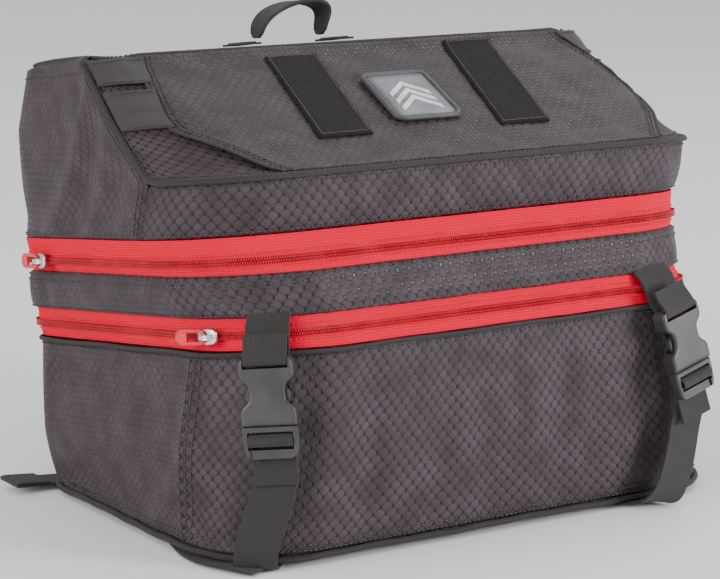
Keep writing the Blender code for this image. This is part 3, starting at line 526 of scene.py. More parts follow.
CLOTH = ripstop("cloth_ripstop", (0.060, 0.043, 0.055), (0.020, 0.012, 0.017))
BINDING = ribbed("cloth_binding", (0.030, 0.024, 0.027), (0.012, 0.009, 0.010), 0.9, 1.1, 0.72, 0.04)
LINING = ribbed("cloth_lining", (0.030, 0.030, 0.032), (0.014, 0.014, 0.015), 0.8, 0.8, 0.85, 0.1)
WEBBING = ribbed("cloth_webbing", (0.034, 0.031, 0.032), (0.013, 0.012, 0.012), 1.0, 1.5, 0.8, 0.06)
ELASTIC = ribbed("cloth_elastic", (0.040, 0.034, 0.036), (0.022, 0.018, 0.019), 0.7, 0.9, 0.6, 0.06)
RED_TAPE = ribbed("cloth_red_tape", (0.86, 0.0, 0.040), (0.66, 0.0, 0.026), 0.9, 1.6, 0.8, 0.0, 0.15, 0.08)
RED_COIL = moulded("nylon_red_coil", (0.40, 0.0, 0.014), 0.4, 1500.0)
THREAD = moulded("thread_grey", (0.040, 0.035, 0.036), 0.7, 2500.0, 0.0001)
RED_THREAD = moulded("thread_red", (0.55, 0.012, 0.030), 0.7, 2500.0, 0.0001)
PILE = pile("cloth_loop_pile", (0.016, 0.013, 0.015))
BUCKLE = moulded("acetal_dark_grey", (0.026, 0.024, 0.025), 0.34, 1100.0, 0.00003, (0.042, 0.040, 0.040))
BADGE_FACE = moulded("rubber_grey", (0.150, 0.155, 0.170), 0.55, 700.0, 0.00006)
BADGE_RIM = moulded("rubber_dark", (0.040, 0.041, 0.044), 0.5, 700.0, 0.00006)
BADGE_MARK = moulded("rubber_pale", (0.55, 0.55, 0.56), 0.6, 700.0, 0.00006)
NICKEL = metal("nickel_plate", (0.78, 0.78, 0.80), 0.2)
RED_PULL = moulded("plastic_red", (0.60, 0.002, 0.018), 0.34, 800.0, 0.00004, (0.70, 0.02, 0.04), 0.2)
BOARD = moulded("board_black", (0.035, 0.035, 0.036), 0.6, 300.0, 0.0001)


# ---------------------------------------------------------------- stitching

STITCH_PITCH = 3.3
PAST_END = 2000.0            # wider than any panel: a row of stitches from side to side
STITCH_LENGTH = 2.5
STITCH_WIDTH = 0.42
sewn = {}


def stitch(places, normals, body, colour="grey", pitch=STITCH_PITCH):
    """Records a row of stitches along a line of places that lie on the cloth."""
    places, normals = np.asarray(places), np.asarray(normals)
    length = distances(places)
    count = int(length[-1] / pitch)
    if count < 1:
        return
    middles = (np.arange(count) + 0.5) * length[-1] / count
    at, ahead, behind, out = (
        np.stack([np.interp(middles + shift, length, field[:, k]) for k in range(3)], -1)
        for field, shift in ((places, 0.0), (places, 0.6), (places, -0.6), (normals, 0.0)))
    sewn.setdefault((body, colour), []).append((at, ahead - behind, out))


def stitch_panel(panel, path, body, colour="grey", proud=0.25, pitch=STITCH_PITCH):
    """Stitches along a path of (across, up) points on a panel."""
    path = np.asarray(path, float)
    length = distances(path)
    steps = np.linspace(0.0, length[-1], max(2, int(length[-1] / 2.0)))
    u, v = np.interp(steps, length, path[:, 0]), np.interp(steps, length, path[:, 1])
    places, normals = panel.sample(u, v, proud)
    stitch(places, normals, body, colour, pitch)


def sew_all():
    """Makes every recorded stitch: a short thread that dips into the cloth at both ends."""
    ring = [(math.cos(a), math.sin(a)) for a in (math.pi / 3 * k for k in range(6))]
    profile = ((-1.0, 0.25, -0.5), (-0.7, 0.85, 0.1), (0.0, 1.0, 0.35), (0.7, 0.85, 0.1), (1.0, 0.25, -0.5))
    template = np.array([(s * STITCH_LENGTH / 2, c * w * STITCH_WIDTH, (d * w + lift) * STITCH_WIDTH)
                         for s, w, lift in profile for c, d in ring])
    faces = [[r * 6 + k, r * 6 + (k + 1) % 6, r * 6 + 6 + (k + 1) % 6, r * 6 + 6 + k]
             for r in range(len(profile) - 1) for k in range(6)]
    faces += [list(range(5, -1, -1)), [24 + k for k in range(6)]]
    for (body, colour), rows in sewn.items():
        at, along, out = (np.concatenate([row[k] for row in rows]) for k in range(3))
        along = unit(along)
        side = unit(np.cross(out, along))
        out = np.cross(along, side)
        axes = np.stack([along, side, out], 1)
        points = (template[None] @ axes + at[:, None]).reshape(-1, 3)
        count = len(template)
        all_faces = [[i + count * k for i in face] for k in range(len(at)) for face in faces]
        make_object(f"stitching_{colour}_{body}", points, all_faces, body,
                    THREAD if colour == "grey" else RED_THREAD)


# ---------------------------------------------------------------- lower body

BODY_WALL = 2.8
BODY_PANELS = (
    ("body_front_panel", -2.0, 2.0),
    ("body_left_end", -4.0, -2.0),
    ("body_right_end", 2.0, 4.0),
    ("body_back_panel", 4.0, 6.0),
)


def body_swell(up, across):
    """The lower body's padding: fullest a little under the middle."""
    return 2.6 * np.sin(np.pi * np.clip(up, 0.0, 1.0)) ** 0.7 + 0.0 * across


def build_lower_body():
    """The four padded panels of the body, with their seams' double rows of stitches."""
    panels = {}
    for seed, (name, start, end) in enumerate(BODY_PANELS):
        panel, _ = outline_panel(name, start, end, 0.0, BODY_TOP - 0.2, proud=body_swell, surface=body_shell)
        panel.soften(0.010, 1.2, 4.0, seed=seed)
        panel.pucker(0.35, 15.0, 7.0, seed)
        panel.crease(1.6, 1.5)
        visual = panel.finish("bag", CLOTH, BODY_WALL, (name,), "ripstop", fill=0.35)
        visual.name = name + "_cloth"
        width, height = panel.across[-1], panel.upward[-1]
        for inset in (4.2, 8.4):
            stitch_panel(panel, [(-width, inset), (width, inset)], "bag")
        stitch_panel(panel, [(-width, height - 4.0), (width, height - 4.0)], "bag")
        panels[name] = panel
    front = panels["body_front_panel"]
    for side in (-1.0, 1.0):
        for inset in (3.0, 7.4):
            u = side * (front.across[-1] - inset)
            stitch_panel(front, [(u, 1.0), (u, front.upward[-1] - 1.0)], "bag")
    for name, side in (("body_left_end", 1.0), ("body_right_end", -1.0)):
        panel = panels[name]
        u = side * (panel.across[-1] - 3.0)
        stitch_panel(panel, [(u, 1.0), (u, panel.upward[-1] - 1.0)], "bag")


def ring_faces(count, sides, closed):
    """Faces between rings of points, with a cap at both ends of a run that isn't closed."""
    faces = [(i * sides + k, i * sides + (k + 1) % sides, (i + 1) % count * sides + (k + 1) % sides,
              (i + 1) % count * sides + k)
             for i in range(count if closed else count - 1) for k in range(sides)]
    if not closed:
        faces += [tuple(range(sides))[::-1], tuple(range((count - 1) * sides, count * sides))]
    return faces


def tube(name, path, radius, body, material, replaces, sides=10):
    """A round bead along a closed path, its weave running with it."""
    path = np.asarray(path, float)
    forward = unit(np.roll(path, -1, 0) - np.roll(path, 1, 0))
    side = unit(np.cross(forward, (0.0, 0.0, 1.0)))
    top = np.cross(side, forward)
    turn = np.linspace(0.0, 2.0 * math.pi, sides, endpoint=False)
    sideways = side[:, None] * np.cos(turn)[None, :, None]
    ring = sideways + top[:, None] * np.sin(turn)[None, :, None]
    points = path[:, None] + ring * radius
    faces = ring_faces(len(path), sides, True)
    length = distances(path)
    weave = np.stack(np.broadcast_arrays(length[:, None], turn[None] * radius, 0.0), -1)
    return make_object(name, points.reshape(-1, 3), faces, body, material, replaces,
                       weave=weave.reshape(-1, 3))


def ring_path(height, proud, surface=shell):
    """A closed line round the bag at one height."""
    stations, _ = spaced_stations(-5.0, 5.0, height, 4.0, edge=False)
    return surface(height, stations, proud)[:-1]


def build_piping():
    """The bead round the base seam and the one round the body's top edge."""
    path = ring_path(0.0, 1.3, surface=body_shell)
    path[:, 2] -= 0.9
    wander = 0.35 * np.sin(np.arange(len(path)) * 0.23) + 0.25 * np.sin(np.arange(len(path)) * 0.71)
    path[:, 2] += wander
    tube("base_piping_cloth", path, 1.9, "bag", BINDING, ("base_piping",))
    path = ring_path(BODY_TOP - 1.4, 1.6)
    path[:, 2] += 0.3 * np.sin(np.arange(len(path)) * 0.31)
    tube("body_top_piping_cloth", path, 1.4, "bag", BINDING, ("body_top_piping",))


def build_base():
    """The base: a shallow dish whose middle is flat on the ground, sewn to the board inside."""
    insets = ((0.3, 0.2), (2.0, 1.0), (4.0, 1.9), (8.0, 2.9), (14.0, 3.6), (20.0, 3.8), (27.0, 3.8))
    stations, _ = spaced_stations(-5.0, 5.0, 0.0, 6.0, edge=False)
    stations = stations[:-1]
    rings = []
    for inset, drop in insets:
        ring = body_shell(0.0, stations, -inset)
        ring[:, 1] += drop * math.sin(LEAN)
        ring[:, 2] -= drop * math.cos(LEAN)
        rings.append(ring)
    middle = rings[-1].mean(0)
    for share_x, share_y, drop in ((0.50, 0.82, 3.9), (0.46, 0.79, 4.6), (0.42, 0.75, 5.7), (0.38, 0.70, 5.9),
                                   (0.20, 0.40, 5.9)):
        ring = middle + (rings[6] - middle) * (share_x, share_y, share_y)
        ring[:, 1] += (drop - 3.8) * math.sin(LEAN)
        ring[:, 2] -= (drop - 3.8) * math.cos(LEAN)
        rings.append(ring)
    count = len(stations)
    points = np.concatenate([*rings, rings[0] + np.array((0.0, 0.0, 0.15))])
    faces = []
    for r in range(len(rings) - 1):
        for k in range(count):
            m = (k + 1) % count
            faces.append((r * count + k, (r + 1) * count + k, (r + 1) * count + m, r * count + m))
    last = (len(rings) - 1) * count
    lid = len(rings) * count
    faces.append(tuple(last + k for k in range(count))[::-1])
    faces += [(k, (k + 1) % count, lid + (k + 1) % count, lid + k) for k in range(count)]
    faces.append(tuple(lid + k for k in range(count)))
    weave = points.copy()
    weave[:, 2] = 0.0
    base = make_object("base_panel_cloth", points, faces, "bag", CLOTH, ("base_panel",),
                       weave=weave)


# ---------------------------------------------------------------- zips and band

COIL_PITCH = 1.4
COIL_RADIUS = 0.34
COIL_LEG = 1.9               # how far each tooth's two legs reach into the tape


def build_tape(name, low, high, body, seed):
    """A zip tape: a smooth strip that ripples a little along its length."""
    rows = np.concatenate([[low], np.linspace(low + 0.8, high - 0.8, max(4, int((high - low) / 1.2))),
                           [high]])
    panel, _ = outline_panel(name, -ZIP_END, ZIP_END, low, high, 3.0, rows=rows)
    u = panel.across[None, :]
    v = panel.upward[:, None]
    span = high - low
    ripple = 0.35 * np.sin(u / 13.0 + seed) + 0.25 * np.sin(u / 5.3 + 2.0 * seed)
    lift = ripple * np.sin(np.pi * v / span)
    panel.points = panel.points + grid_normals(panel.points) * lift[..., None]
    visual = panel.finish(body, RED_TAPE, 1.0, (name,), "red_tape")
    visual.name = name + "_cloth"
    return panel


def build_coil(name, height, upward, body, phase):
    """Half of a nylon coil: one bent tooth after another along the zip."""
    stations, length = spaced_stations(-ZIP_END, ZIP_END, height, 0.5, edge=False)
    path = shell(height, stations, 1.55)
    along = np.arange(phase * COIL_PITCH, length[-1] - 1.0, COIL_PITCH)
    at = read_along(along, length, path)
    out = read_along(along, length, shell(height, stations, 2.55) - path)
    forward = np.cross(out, (0.0, 0.0, 1.0)) * -1.0
    section = [(math.cos(a) * COIL_RADIUS, math.sin(a) * COIL_RADIUS)
               for a in (math.pi / 2 * corner + 0.785 for corner in range(4))]
    rise = 1.0 if upward else -1.0
    bends = [(COIL_LEG, -0.9)]
    for turn in (math.pi * (k / 8 - 0.5) for k in range(9)):
        bends.append((0.35 - 0.55 * math.cos(turn), 0.95 * math.sin(turn)))
    bends.append((COIL_LEG, 0.9))
    count = len(bends)
    template = np.array([(a, (z + (b * 0.5)) * rise, n + b) for z, n in bends for a, b in section])
    faces = []
    for k in range(count - 1):
        for q in range(4):
            faces.append((k * 4 + q, k * 4 + (q + 1) % 4, k * 4 + 4 + (q + 1) % 4, k * 4 + 4 + q))
    faces += [(3, 2, 1, 0), tuple(count * 4 - 4 + q for q in range(4))]
    axes = np.stack([forward, np.broadcast_to((0.0, 0.0, 1.0), out.shape), out], 1)
    points = (template[None] @ axes + at[:, None]).reshape(-1, 3)
    step = len(template)
    many = [[i + step * t for i in face] for t in range(len(at)) for face in faces]
    make_object(name + "_teeth", points, many, body, RED_COIL, (name,))


def build_zips():
    """Both zips: two tapes, two coils and a row of stitches along each tape."""
    for zip_name, low, coil, high, low_body, high_body in (
            ("lower_zip", BODY_TOP + 0.6, LOWER_COIL, BAND_BOTTOM + 0.4, "bag", "band"),
            ("upper_zip", BAND_TOP + 0.2, UPPER_COIL, LID_BOTTOM + 0.6, "band", "lid")):
        lower = build_tape(zip_name + "_lower_tape", low, coil - 0.25, low_body, 1.0)
        upper = build_tape(zip_name + "_upper_tape", coil + 0.25, high, high_body, 2.3)
        build_coil(zip_name + "_lower_coil", coil, False, low_body, 0.0)
        build_coil(zip_name + "_upper_coil", coil, True, high_body, 0.5)
        width = lower.across[-1]
        for panel, v, body in ((lower, lower.upward[-1] - 3.9, low_body), (upper, 3.9, high_body)):
            stitch_panel(panel, [(-width, v), (width, v)], body, "red", 0.2, 2.8)


def build_band():
    """The padded strip between the two zips, and its back without zips."""
    rows = np.concatenate([[BAND_BOTTOM - 1.2, BAND_BOTTOM - 0.4],
                           np.linspace(BAND_BOTTOM + 0.8, BAND_TOP - 0.8, 11),
                           [BAND_TOP + 0.4, BAND_TOP + 1.2]])
    stations, across = spaced_stations(-ZIP_END, ZIP_END, 148.0, 3.4)
    across = across - across[-1] / 2.0
    share = np.clip((rows - rows[0]) / (rows[-1] - rows[0]), 0.0, 1.0)
    points = shell(rows[:, None], stations[None, :], 1.4 + 1.9 * np.sin(np.pi * share[:, None]) ** 0.6)
    strip = Panel("band_strip", points, across, rows - rows[0])
    strip.soften(0.008, 0.6, 2.0, frames=10, seed=11)
    strip.pucker(0.3, 13.0, 6.0, 4.0)
    strip.crease(1.6, 1.1, "bt")
    visual = strip.finish("band", CLOTH, 2.6, ("band_strip",), "ripstop", fill=0.3)
    visual.name = "band_strip_cloth"
    top = strip.upward[-1]
    for v in (2.6, top - 2.6, top - 6.0):
        stitch_panel(strip, [(-PAST_END, v), (PAST_END, v)], "band")
    back, _ = outline_panel("band_back", ZIP_END, 10.0 - ZIP_END, BODY_TOP + 1.6, HINGE_HEIGHT - 0.3, 4.5)
    back.soften(0.008, 0.6, 3.0, frames=10, seed=12)
    back.crease(1.4, 1.3)
    visual = back.finish("band", CLOTH, 2.6, ("band_back",), "ripstop", fill=0.3)
    visual.name = "band_back_cloth"
    for v in (4.0, back.upward[-1] - 4.0):
        stitch_panel(back, [(-PAST_END, v), (PAST_END, v)], "band")


GUSSET_BOTTOM = 112.0
GUSSET_TOP = 142.0


def build_gusset():
    """The lining that unfolds between the body and the band: three soft pleats inside the zip."""
    heights = np.linspace(GUSSET_BOTTOM, GUSSET_TOP, 37)
    stations, across = spaced_stations(-ZIP_END, ZIP_END, LOWER_COIL, 6.0)
    fold = 2.0 * np.sin((heights - heights[0]) / (GUSSET_TOP - GUSSET_BOTTOM) * 6.0 * math.pi)
    points = shell(heights[:, None], stations[None, :], -8.0 + fold[:, None] * 0.9)
    panel = Panel("expansion_gusset", points, across - across[-1] / 2.0, heights - heights[0])
    points, faces = thick_grid(panel.points, 0.7)
    u, v = np.meshgrid(panel.across, panel.upward)
    weave = np.stack([u, v, 0 * u], -1).reshape(-1, 3)
    gusset = make_object("expansion_gusset_cloth", points, faces, None, LINING, (),
                         weave=np.concatenate([weave, weave]))
    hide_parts("expansion_gusset")
    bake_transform(gusset)


# ---------------------------------------------------------------- lid

SLOPE_DEPTH = 128.0
SLOPE_LENGTH = math.hypot(SLOPE_DEPTH, RIDGE - LID_SEAM)


def build_lid_panels():
    """The lid's low front wall, its slope and its two ends."""
    def front_swell(up, _):
        return 1.6 * np.sin(np.pi * np.clip(up, 0.0, 1.0))

    front, _ = outline_panel("lid_front_panel", -2.0, 2.0, LID_BOTTOM + 0.3, LID_SEAM - 0.2, 3.2, front_swell)
    front.soften(0.012, 0.8, 3.5, seed=21)
    front.pucker(0.55, 19.0, 9.0, 2.0)
    front.crease(1.5, 1.3)
    front.finish("lid", CLOTH, 2.6, ("lid_front_panel",), "ripstop", fill=0.35).name = "lid_front_panel_cloth"
    top = front.upward[-1]
    stitch_panel(front, [(-PAST_END, 3.2), (PAST_END, 3.2)], "lid")
    stitch_panel(front, [(-PAST_END, top - 3.6), (PAST_END, top - 3.6)], "lid")
    for side in (-1.0, 1.0):
        u = side * (front.across[-1] - 3.0)
        stitch_panel(front, [(u, 1.0), (u, top - 1.0)], "lid")

    def slope_swell(up, across):
        return 2.4 * np.sin(np.pi * np.clip(up, 0.0, 1.0)) + 0.0 * across

    rows = LID_SEAM + 0.2 + edged_steps(SLOPE_LENGTH, 3.6) * (RIDGE - LID_SEAM) / SLOPE_LENGTH
    slope, stations = outline_panel("lid_slope_panel", -2.0, 2.0, LID_SEAM + 0.2, RIDGE + 0.2, 3.6, rows=rows)
    slope.upward = (rows - rows[0]) * SLOPE_LENGTH / (RIDGE - LID_SEAM)
    slope.stations = stations
    slope.soften(0.008, 0.7, 3.0, seed=22)
    slope.pucker(0.35, 21.0, 8.0, 1.0)
    slope.crease(1.4, 1.4)
    slope.finish("lid", CLOTH, 2.0, ("lid_slope_panel",), "ripstop", fill=0.3).name = "lid_slope_panel_cloth"
    for v in (3.4, 7.4):
        stitch_panel(slope, [(-PAST_END, v), (PAST_END, v)], "lid")
    for side in (-1.0, 1.0):
        for inset in (3.0, 7.0):
            u = side * (slope.across[-1] - inset)
            stitch_panel(slope, [(u, 6.0), (u, slope.upward[-1] - 4.0)], "lid")
    bead = []
    for height in np.linspace(RIDGE - 2.0, LID_SEAM + 6.0, 34):
        bead.append((height, 2.0))
    for turn in np.linspace(0.0, math.pi / 2, 8)[1:]:
        bead.append((LID_SEAM + 6.0 - 6.0 * math.sin(turn), 2.0 - 0.13 * (1.0 - math.cos(turn))))
    bead = np.array(bead)
    across = np.linspace(bead[-1, 1], -bead[-1, 1], 150)[1:-1]
    bead = np.concatenate([bead, np.stack([0 * across + LID_SEAM, across], -1), bead[::-1] * (1.0, -1.0)])
    line = shell(bead[:, 0], bead[:, 1], 0.9)
    out = shell(bead[:, 0], bead[:, 1], 2.0) - line
    out[:, 2] += 0.8
    binding("lid_seam_bead", line, unit(out), 4.2, "lid", 1.3)
    ends = {}
    for seed, (name, start, end) in enumerate((("lid_left_end", -4.0, -2.0), ("lid_right_end", 2.0, 4.0))):
        stations, across = spaced_stations(start, end, 230.0, 3.6)
        wall = LID_BOTTOM + 0.3 + edged_steps(CREST - 5.0 - LID_BOTTOM, 3.8)
        roll = [(CREST - 3.2, -0.5), (CREST - 1.8, -1.1), (CREST - 0.7, -2.1), (CREST - 0.1, -3.4),
                (CREST, -4.8)]
        heights = np.concatenate([wall[:-3], [h for h, _ in roll]])
        inwards = np.concatenate([0.0 * wall[:-3], [d for _, d in roll]])
        share = np.clip((heights - LID_BOTTOM) / (CREST - LID_BOTTOM), 0.0, 1.0)
        points = shell(heights[:, None], stations[None, :],
                       inwards[:, None] + 2.2 * np.sin(np.pi * share)[:, None])
        upward = np.concatenate([[0.0], np.cumsum(np.hypot(np.diff(heights), np.diff(inwards)))])
        panel = Panel(name, points, across - across[-1] / 2.0, upward)
        panel.soften(0.010, 1.0, 4.0, seed=31 + seed)
        panel.pucker(0.4, 17.0, 8.0, 3.0 + seed)
        panel.crease(1.5, 1.4)
        panel.finish("lid", CLOTH, 2.6, (name,), "ripstop", fill=0.35).name = name + "_cloth"
        front_side = 1.0 if start < 0 else -1.0
        for inset in (3.2, 7.0):
            u = front_side * (panel.across[-1] - inset)
            stitch_panel(panel, [(u, 3.0), (u, panel.upward[-1] - 8.0)], "lid")
        stitch_panel(panel, [(-PAST_END, 3.4), (PAST_END, 3.4)], "lid")
        stitch_panel(panel, [(-PAST_END, panel.upward[-1] - 11.0), (PAST_END, panel.upward[-1] - 11.0)],
                     "lid")
        ends[name] = panel
    return slope, ends


HINGE_STRIP = 12.0
RIDGE_FRONT = 127.0


def crest_half(y, z):
    """Half the width of the lid's top inside the rolled edges of its ends."""
    half, back, radius = (np.interp(z, LEVELS[:, 0], LEVELS[:, c]) for c in (1, 3, 5))
    past = np.maximum(0.0, y - (back - radius))
    return half - radius - 3.0 + np.sqrt(np.maximum((radius - 4.5) ** 2 - past ** 2, 0.0))


def build_lid_top():
    """Back and top of the lid in one panel: up from the hinge, over the crest, down to the ridge."""
    columns = np.linspace(0.0, 1.0, 78)
    start, end = 4.0 + 0.004, 6.0 - 0.004
    rows = []
    for height in np.linspace(HINGE_HEIGHT + 0.3, RIDGE - 5.0, 30):
        rows.append(shell(height, start + (end - start) * columns,
                          1.0 * math.sin(math.pi * (height - 170.0) / 130.0)))
    knots = np.array(((247.5, CREST - 5.6), (243.0, CREST - 3.2), (234.0, CREST - 1.6), (220.0, CREST - 0.4),
                      (196.0, CREST + 0.8), (162.0, CREST + 1.0), (146.0, CREST + 0.2), (136.0, CREST - 1.2),
                      (RIDGE_FRONT + 1.2, RIDGE + 0.8)))
    length = distances(knots)
    steps = edged_steps(length[-1], 3.6)
    for step in steps:
        y, z = (np.interp(step, length, knots[:, k]) for k in range(2))
        front_share = max(0.0, (160.0 - y) / (160.0 - RIDGE_FRONT))
        half = float(crest_half(y, min(z, CREST - 3.0))) - 9.0 * front_share
        x = half * (1.0 - 2.0 * columns)
        sag = -2.2 * np.exp(-((half - abs(x)) / 7.0) ** 2)
        rows.append(np.stack([MIDDLE_X + x, 0 * x + y, z + sag], -1))
    points = np.array(rows)
    for _ in range(2):
        points[1:-1] = (points[:-2] + 2.0 * points[1:-1] + points[2:]) / 4.0
    upward = distances(points[:, 39])
    top = Panel("lid_top_panel", points, (columns - 0.5) * 320.0, upward)
    top.soften(0.008, 0.9, 4.0, seed=41)
    top.crease(1.3, 1.6)
    visual = top.finish("lid", CLOTH, 2.2, ("lid_top_panel",), "ripstop", fill=0.4)
    visual.name = "lid_top_panel_cloth"
    end_up = top.upward[-1]
    for inset in (4.0, 8.5):
        stitch_panel(top, [(-PAST_END, end_up - inset), (PAST_END, end_up - inset)], "lid")
    for side in (-1.0, 1.0):
        u = side * (top.across[-1] - 5.0)
        stitch_panel(top, [(u, 120.0), (u, end_up - 4.0)], "lid")
    normals = grid_normals(top.points)

    def around(field):
        return np.concatenate([field[4:, 0], field[-1, 1:-1], field[:3:-1, -1]])

    binding("lid_top_bead", around(top.points) + around(normals) * 0.9, around(normals), 3.4, "lid", 1.1)
    for side_name, start, end in (("left", -4.03, -3.87), ("right", 3.87, 4.03)):
        corner, _ = outline_panel("zip_end_" + side_name, start, end, HINGE_HEIGHT + 0.6, LID_BOTTOM + 1.2,
                                  2.0)
        corner.points = corner.points + grid_normals(corner.points) * 0.35
        corner.finish("lid", BINDING, 1.2, (), "ripstop").name = "zip_end_binding_" + side_name
    return top


def build_ridge_corners(top, slope, ends):
    """A small patch let in under each corner of the ridge, where the top, the slope and an end meet."""
    steps = np.linspace(0.0, 1.0, 13)
    along, up = steps[None, :, None], steps[:, None, None]
    for side, end_name, column in ((-1.0, "lid_left_end", -1), (1.0, "lid_right_end", 0)):
        edge = top.points[30:, column]
        inset = 4 if column == 0 else -5
        behind = edge[np.argmin(np.abs(edge[:, 1] - 172.0))]
        front = top.points[-3, inset]
        rim = slope.points[-3]
        rim_end = rim[:, 0].max() - 7.0 if side > 0 else rim[:, 0].min() + 7.0
        below = rim[np.argmin(np.abs(rim[:, 0] - rim_end))]
        wall = ends[end_name].points.reshape(-1, 3)
        outer = wall[np.argmin(np.linalg.norm(wall - (edge[-1] + (side * 12.0, -2.0, -15.0)), axis=1))]
        high_edge = (1.0 - along) * behind + along * front
        low_edge = (1.0 - along) * outer + along * below
        points = (1.0 - up) * high_edge + up * low_edge
        if np.sum(grid_normals(points)[6, 6] * (side, -1.0, 1.0)) < 0:
            points = points[:, ::-1]
        dome = np.sin(np.pi * steps)[:, None, None] * np.sin(np.pi * steps)[None, :, None]
        points = points + grid_normals(points) * (1.6 * dome - 0.9)
        patch = Panel("ridge_corner" + end_name[3:-4], points, 25.0 * steps, 20.0 * steps)
        patch.finish("lid", CLOTH, 1.2, (), "ripstop")


def build_hinge():
    """The strip of cloth sewn across the gap between the band's back and the lid: the lid's hinge."""
    heights = np.linspace(HINGE_HEIGHT - HINGE_STRIP / 2, HINGE_HEIGHT + HINGE_STRIP / 2, 15)
    stations, across = spaced_stations(ZIP_END + 0.02, 10.0 - ZIP_END - 0.02, HINGE_HEIGHT, 5.0)
    swell = 0.7 + 0.5 * np.cos((heights - HINGE_HEIGHT) / HINGE_STRIP * math.pi)
    panel = Panel("hinge_strip", shell(heights[:, None], stations[None, :], swell[:, None]), across, heights)
    strip = panel.finish(None, BINDING, 0.8, (), "ripstop")
    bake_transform(strip)


# ---------------------------------------------------------------- lid trims

# The overlay's half width at each distance up the slope
OVERLAY_EDGE = np.array(((4.0, 136.0), (33.0, 155.0), (60.0, 171.0), (72.6, 171.5), (90.0, 169.0),
                         (117.0, 163.0), (145.0, 155.0)))
OVERLAY_PROUD = 1.5


def slope_place(x, run, proud):
    """Places and normals above the finished slope, from its middle line across and its seam up."""
    x, run = np.broadcast_arrays(np.asarray(x, float) - MIDDLE_X, np.asarray(run, float))
    height = LID_SEAM + (RIDGE - LID_SEAM) * run / SLOPE_LENGTH
    half, radius = (np.interp(height, LEVELS[:, 0], LEVELS[:, c]) for c in (1, 4))
    over = np.clip((abs(x) - half + radius) / radius, 0.0, 0.98)
    station = np.where(abs(x) <= half - radius, x / (half - radius),
                       np.sign(x) * (1.0 + np.arcsin(over) / (math.pi / 2)))
    u = np.interp(station, lid_slope.stations, lid_slope.across)
    places, normals = lid_slope.sample(u.ravel(), run.ravel(), 0.0)
    places = places + normals * np.broadcast_to(proud, x.shape).reshape(-1, 1)
    return places.reshape(*x.shape, 3), normals.reshape(*x.shape, 3)


def slope_panel(name, runs, lefts, rights, proud, columns):
    """A sheet on the slope between a left and a right edge at each run."""
    share = edged_steps(100.0, 100.0 / columns) / 100.0
    x = lefts[:, None] + (rights - lefts)[:, None] * share[None, :]
    run = np.broadcast_to(runs[:, None], x.shape)
    places, _ = slope_place(x, run, proud)
    return Panel(name, places, share * float(np.max(rights - lefts)), runs - runs[0]), x


def finish_sheet(panel, x, body, material, thickness, node, slot):
    """Finishes a thin panel whose weave follows its true distance from the middle line."""
    thing = panel.finish(body, material, thickness, (node,), slot)
    weave = np.stack([x, np.broadcast_to(panel.upward[:, None], x.shape), 0 * x], -1).reshape(-1, 3)
    weave = np.concatenate([weave, weave]).astype(np.float32)
    thing.data.attributes["weave"].data.foreach_set("vector", weave.ravel())
    thing.name = node + "_cloth"
    return thing


def binding(name, places, normals, width, body, lift=0.9):
    """A folded tape sewn over a cut edge: a flat bead along a line of places."""
    side = np.cross(normals, unit(np.gradient(places, axis=0)))
    turns = np.linspace(0, 2 * math.pi, 12, endpoint=False)
    section = [(math.cos(turn) * width / 2.0, math.sin(turn) * lift) for turn in turns]
    points = np.stack([places + side * a + normals * b for a, b in section], 1)
    count, sides = len(places), len(section)
    faces = ring_faces(count, sides, False)
    length = distances(places)
    weave = np.stack([np.broadcast_to(length[:, None], (count, sides)),
                      np.broadcast_to([a for a, _ in section], (count, sides)), np.zeros((count, sides))], -1)
    return make_object(name, points.reshape(-1, 3), faces, body, BINDING, weave=weave.reshape(-1, 3))


def build_overlay():
    """The pocket panel over the slope, open along its two lower slanting edges."""
    runs = OVERLAY_EDGE[0, 0] + edged_steps(OVERLAY_EDGE[-1, 0] - OVERLAY_EDGE[0, 0], 4.0)
    half = np.interp(runs, OVERLAY_EDGE[:, 0], OVERLAY_EDGE[:, 1])
    mouth = np.clip(1.0 - abs(runs - 33.0) / 30.0, 0.0, 1.0)[:, None]
    share = edged_steps(100.0, 100.0 / 84) / 100.0
    x = -half[:, None] + 2.0 * half[:, None] * share[None, :]
    edge = np.minimum(share, 1.0 - share)[None, :] * 2.0 * half[:, None]
    gape = 2.2 * mouth * np.exp(-(edge / 14.0) ** 2)
    sag = 0.35 * np.sin(x / 23.0 + 1.0) * np.sin(runs[:, None] / 31.0)
    places, _ = slope_place(x, np.broadcast_to(runs[:, None], x.shape), OVERLAY_PROUD + gape + sag)
    panel = Panel("pocket_overlay", places, share * 2.0 * half.max(), runs - runs[0])
    finish_sheet(panel, x, "lid", CLOTH, 1.0, "pocket_overlay", "ripstop")
    for side in (-1.0, 1.0):
        side_name = "left" if side < 0 else "right"
        column = 0 if side < 0 else -1
        low, high = np.searchsorted(runs, 60.0), len(runs)
        normals = grid_normals(panel.points)
        for piece, first, last in (("mouth", 0, low + 1), ("side", low, high)):
            line = panel.points[first:last, column] + normals[first:last, column] * 0.1
            binding(f"overlay_{piece}_binding_{side_name}", line, normals[first:last, column], 2.4, "lid",
                    0.45)
        for inset in (5.0, 8.0):
            u = (inset / (2.0 * half)) if side < 0 else (1.0 - inset / (2.0 * half))
            u = u * panel.across[-1]
            line, out = panel.sample(u, runs - runs[0], 0.25)
            stitch(line, out, "lid")


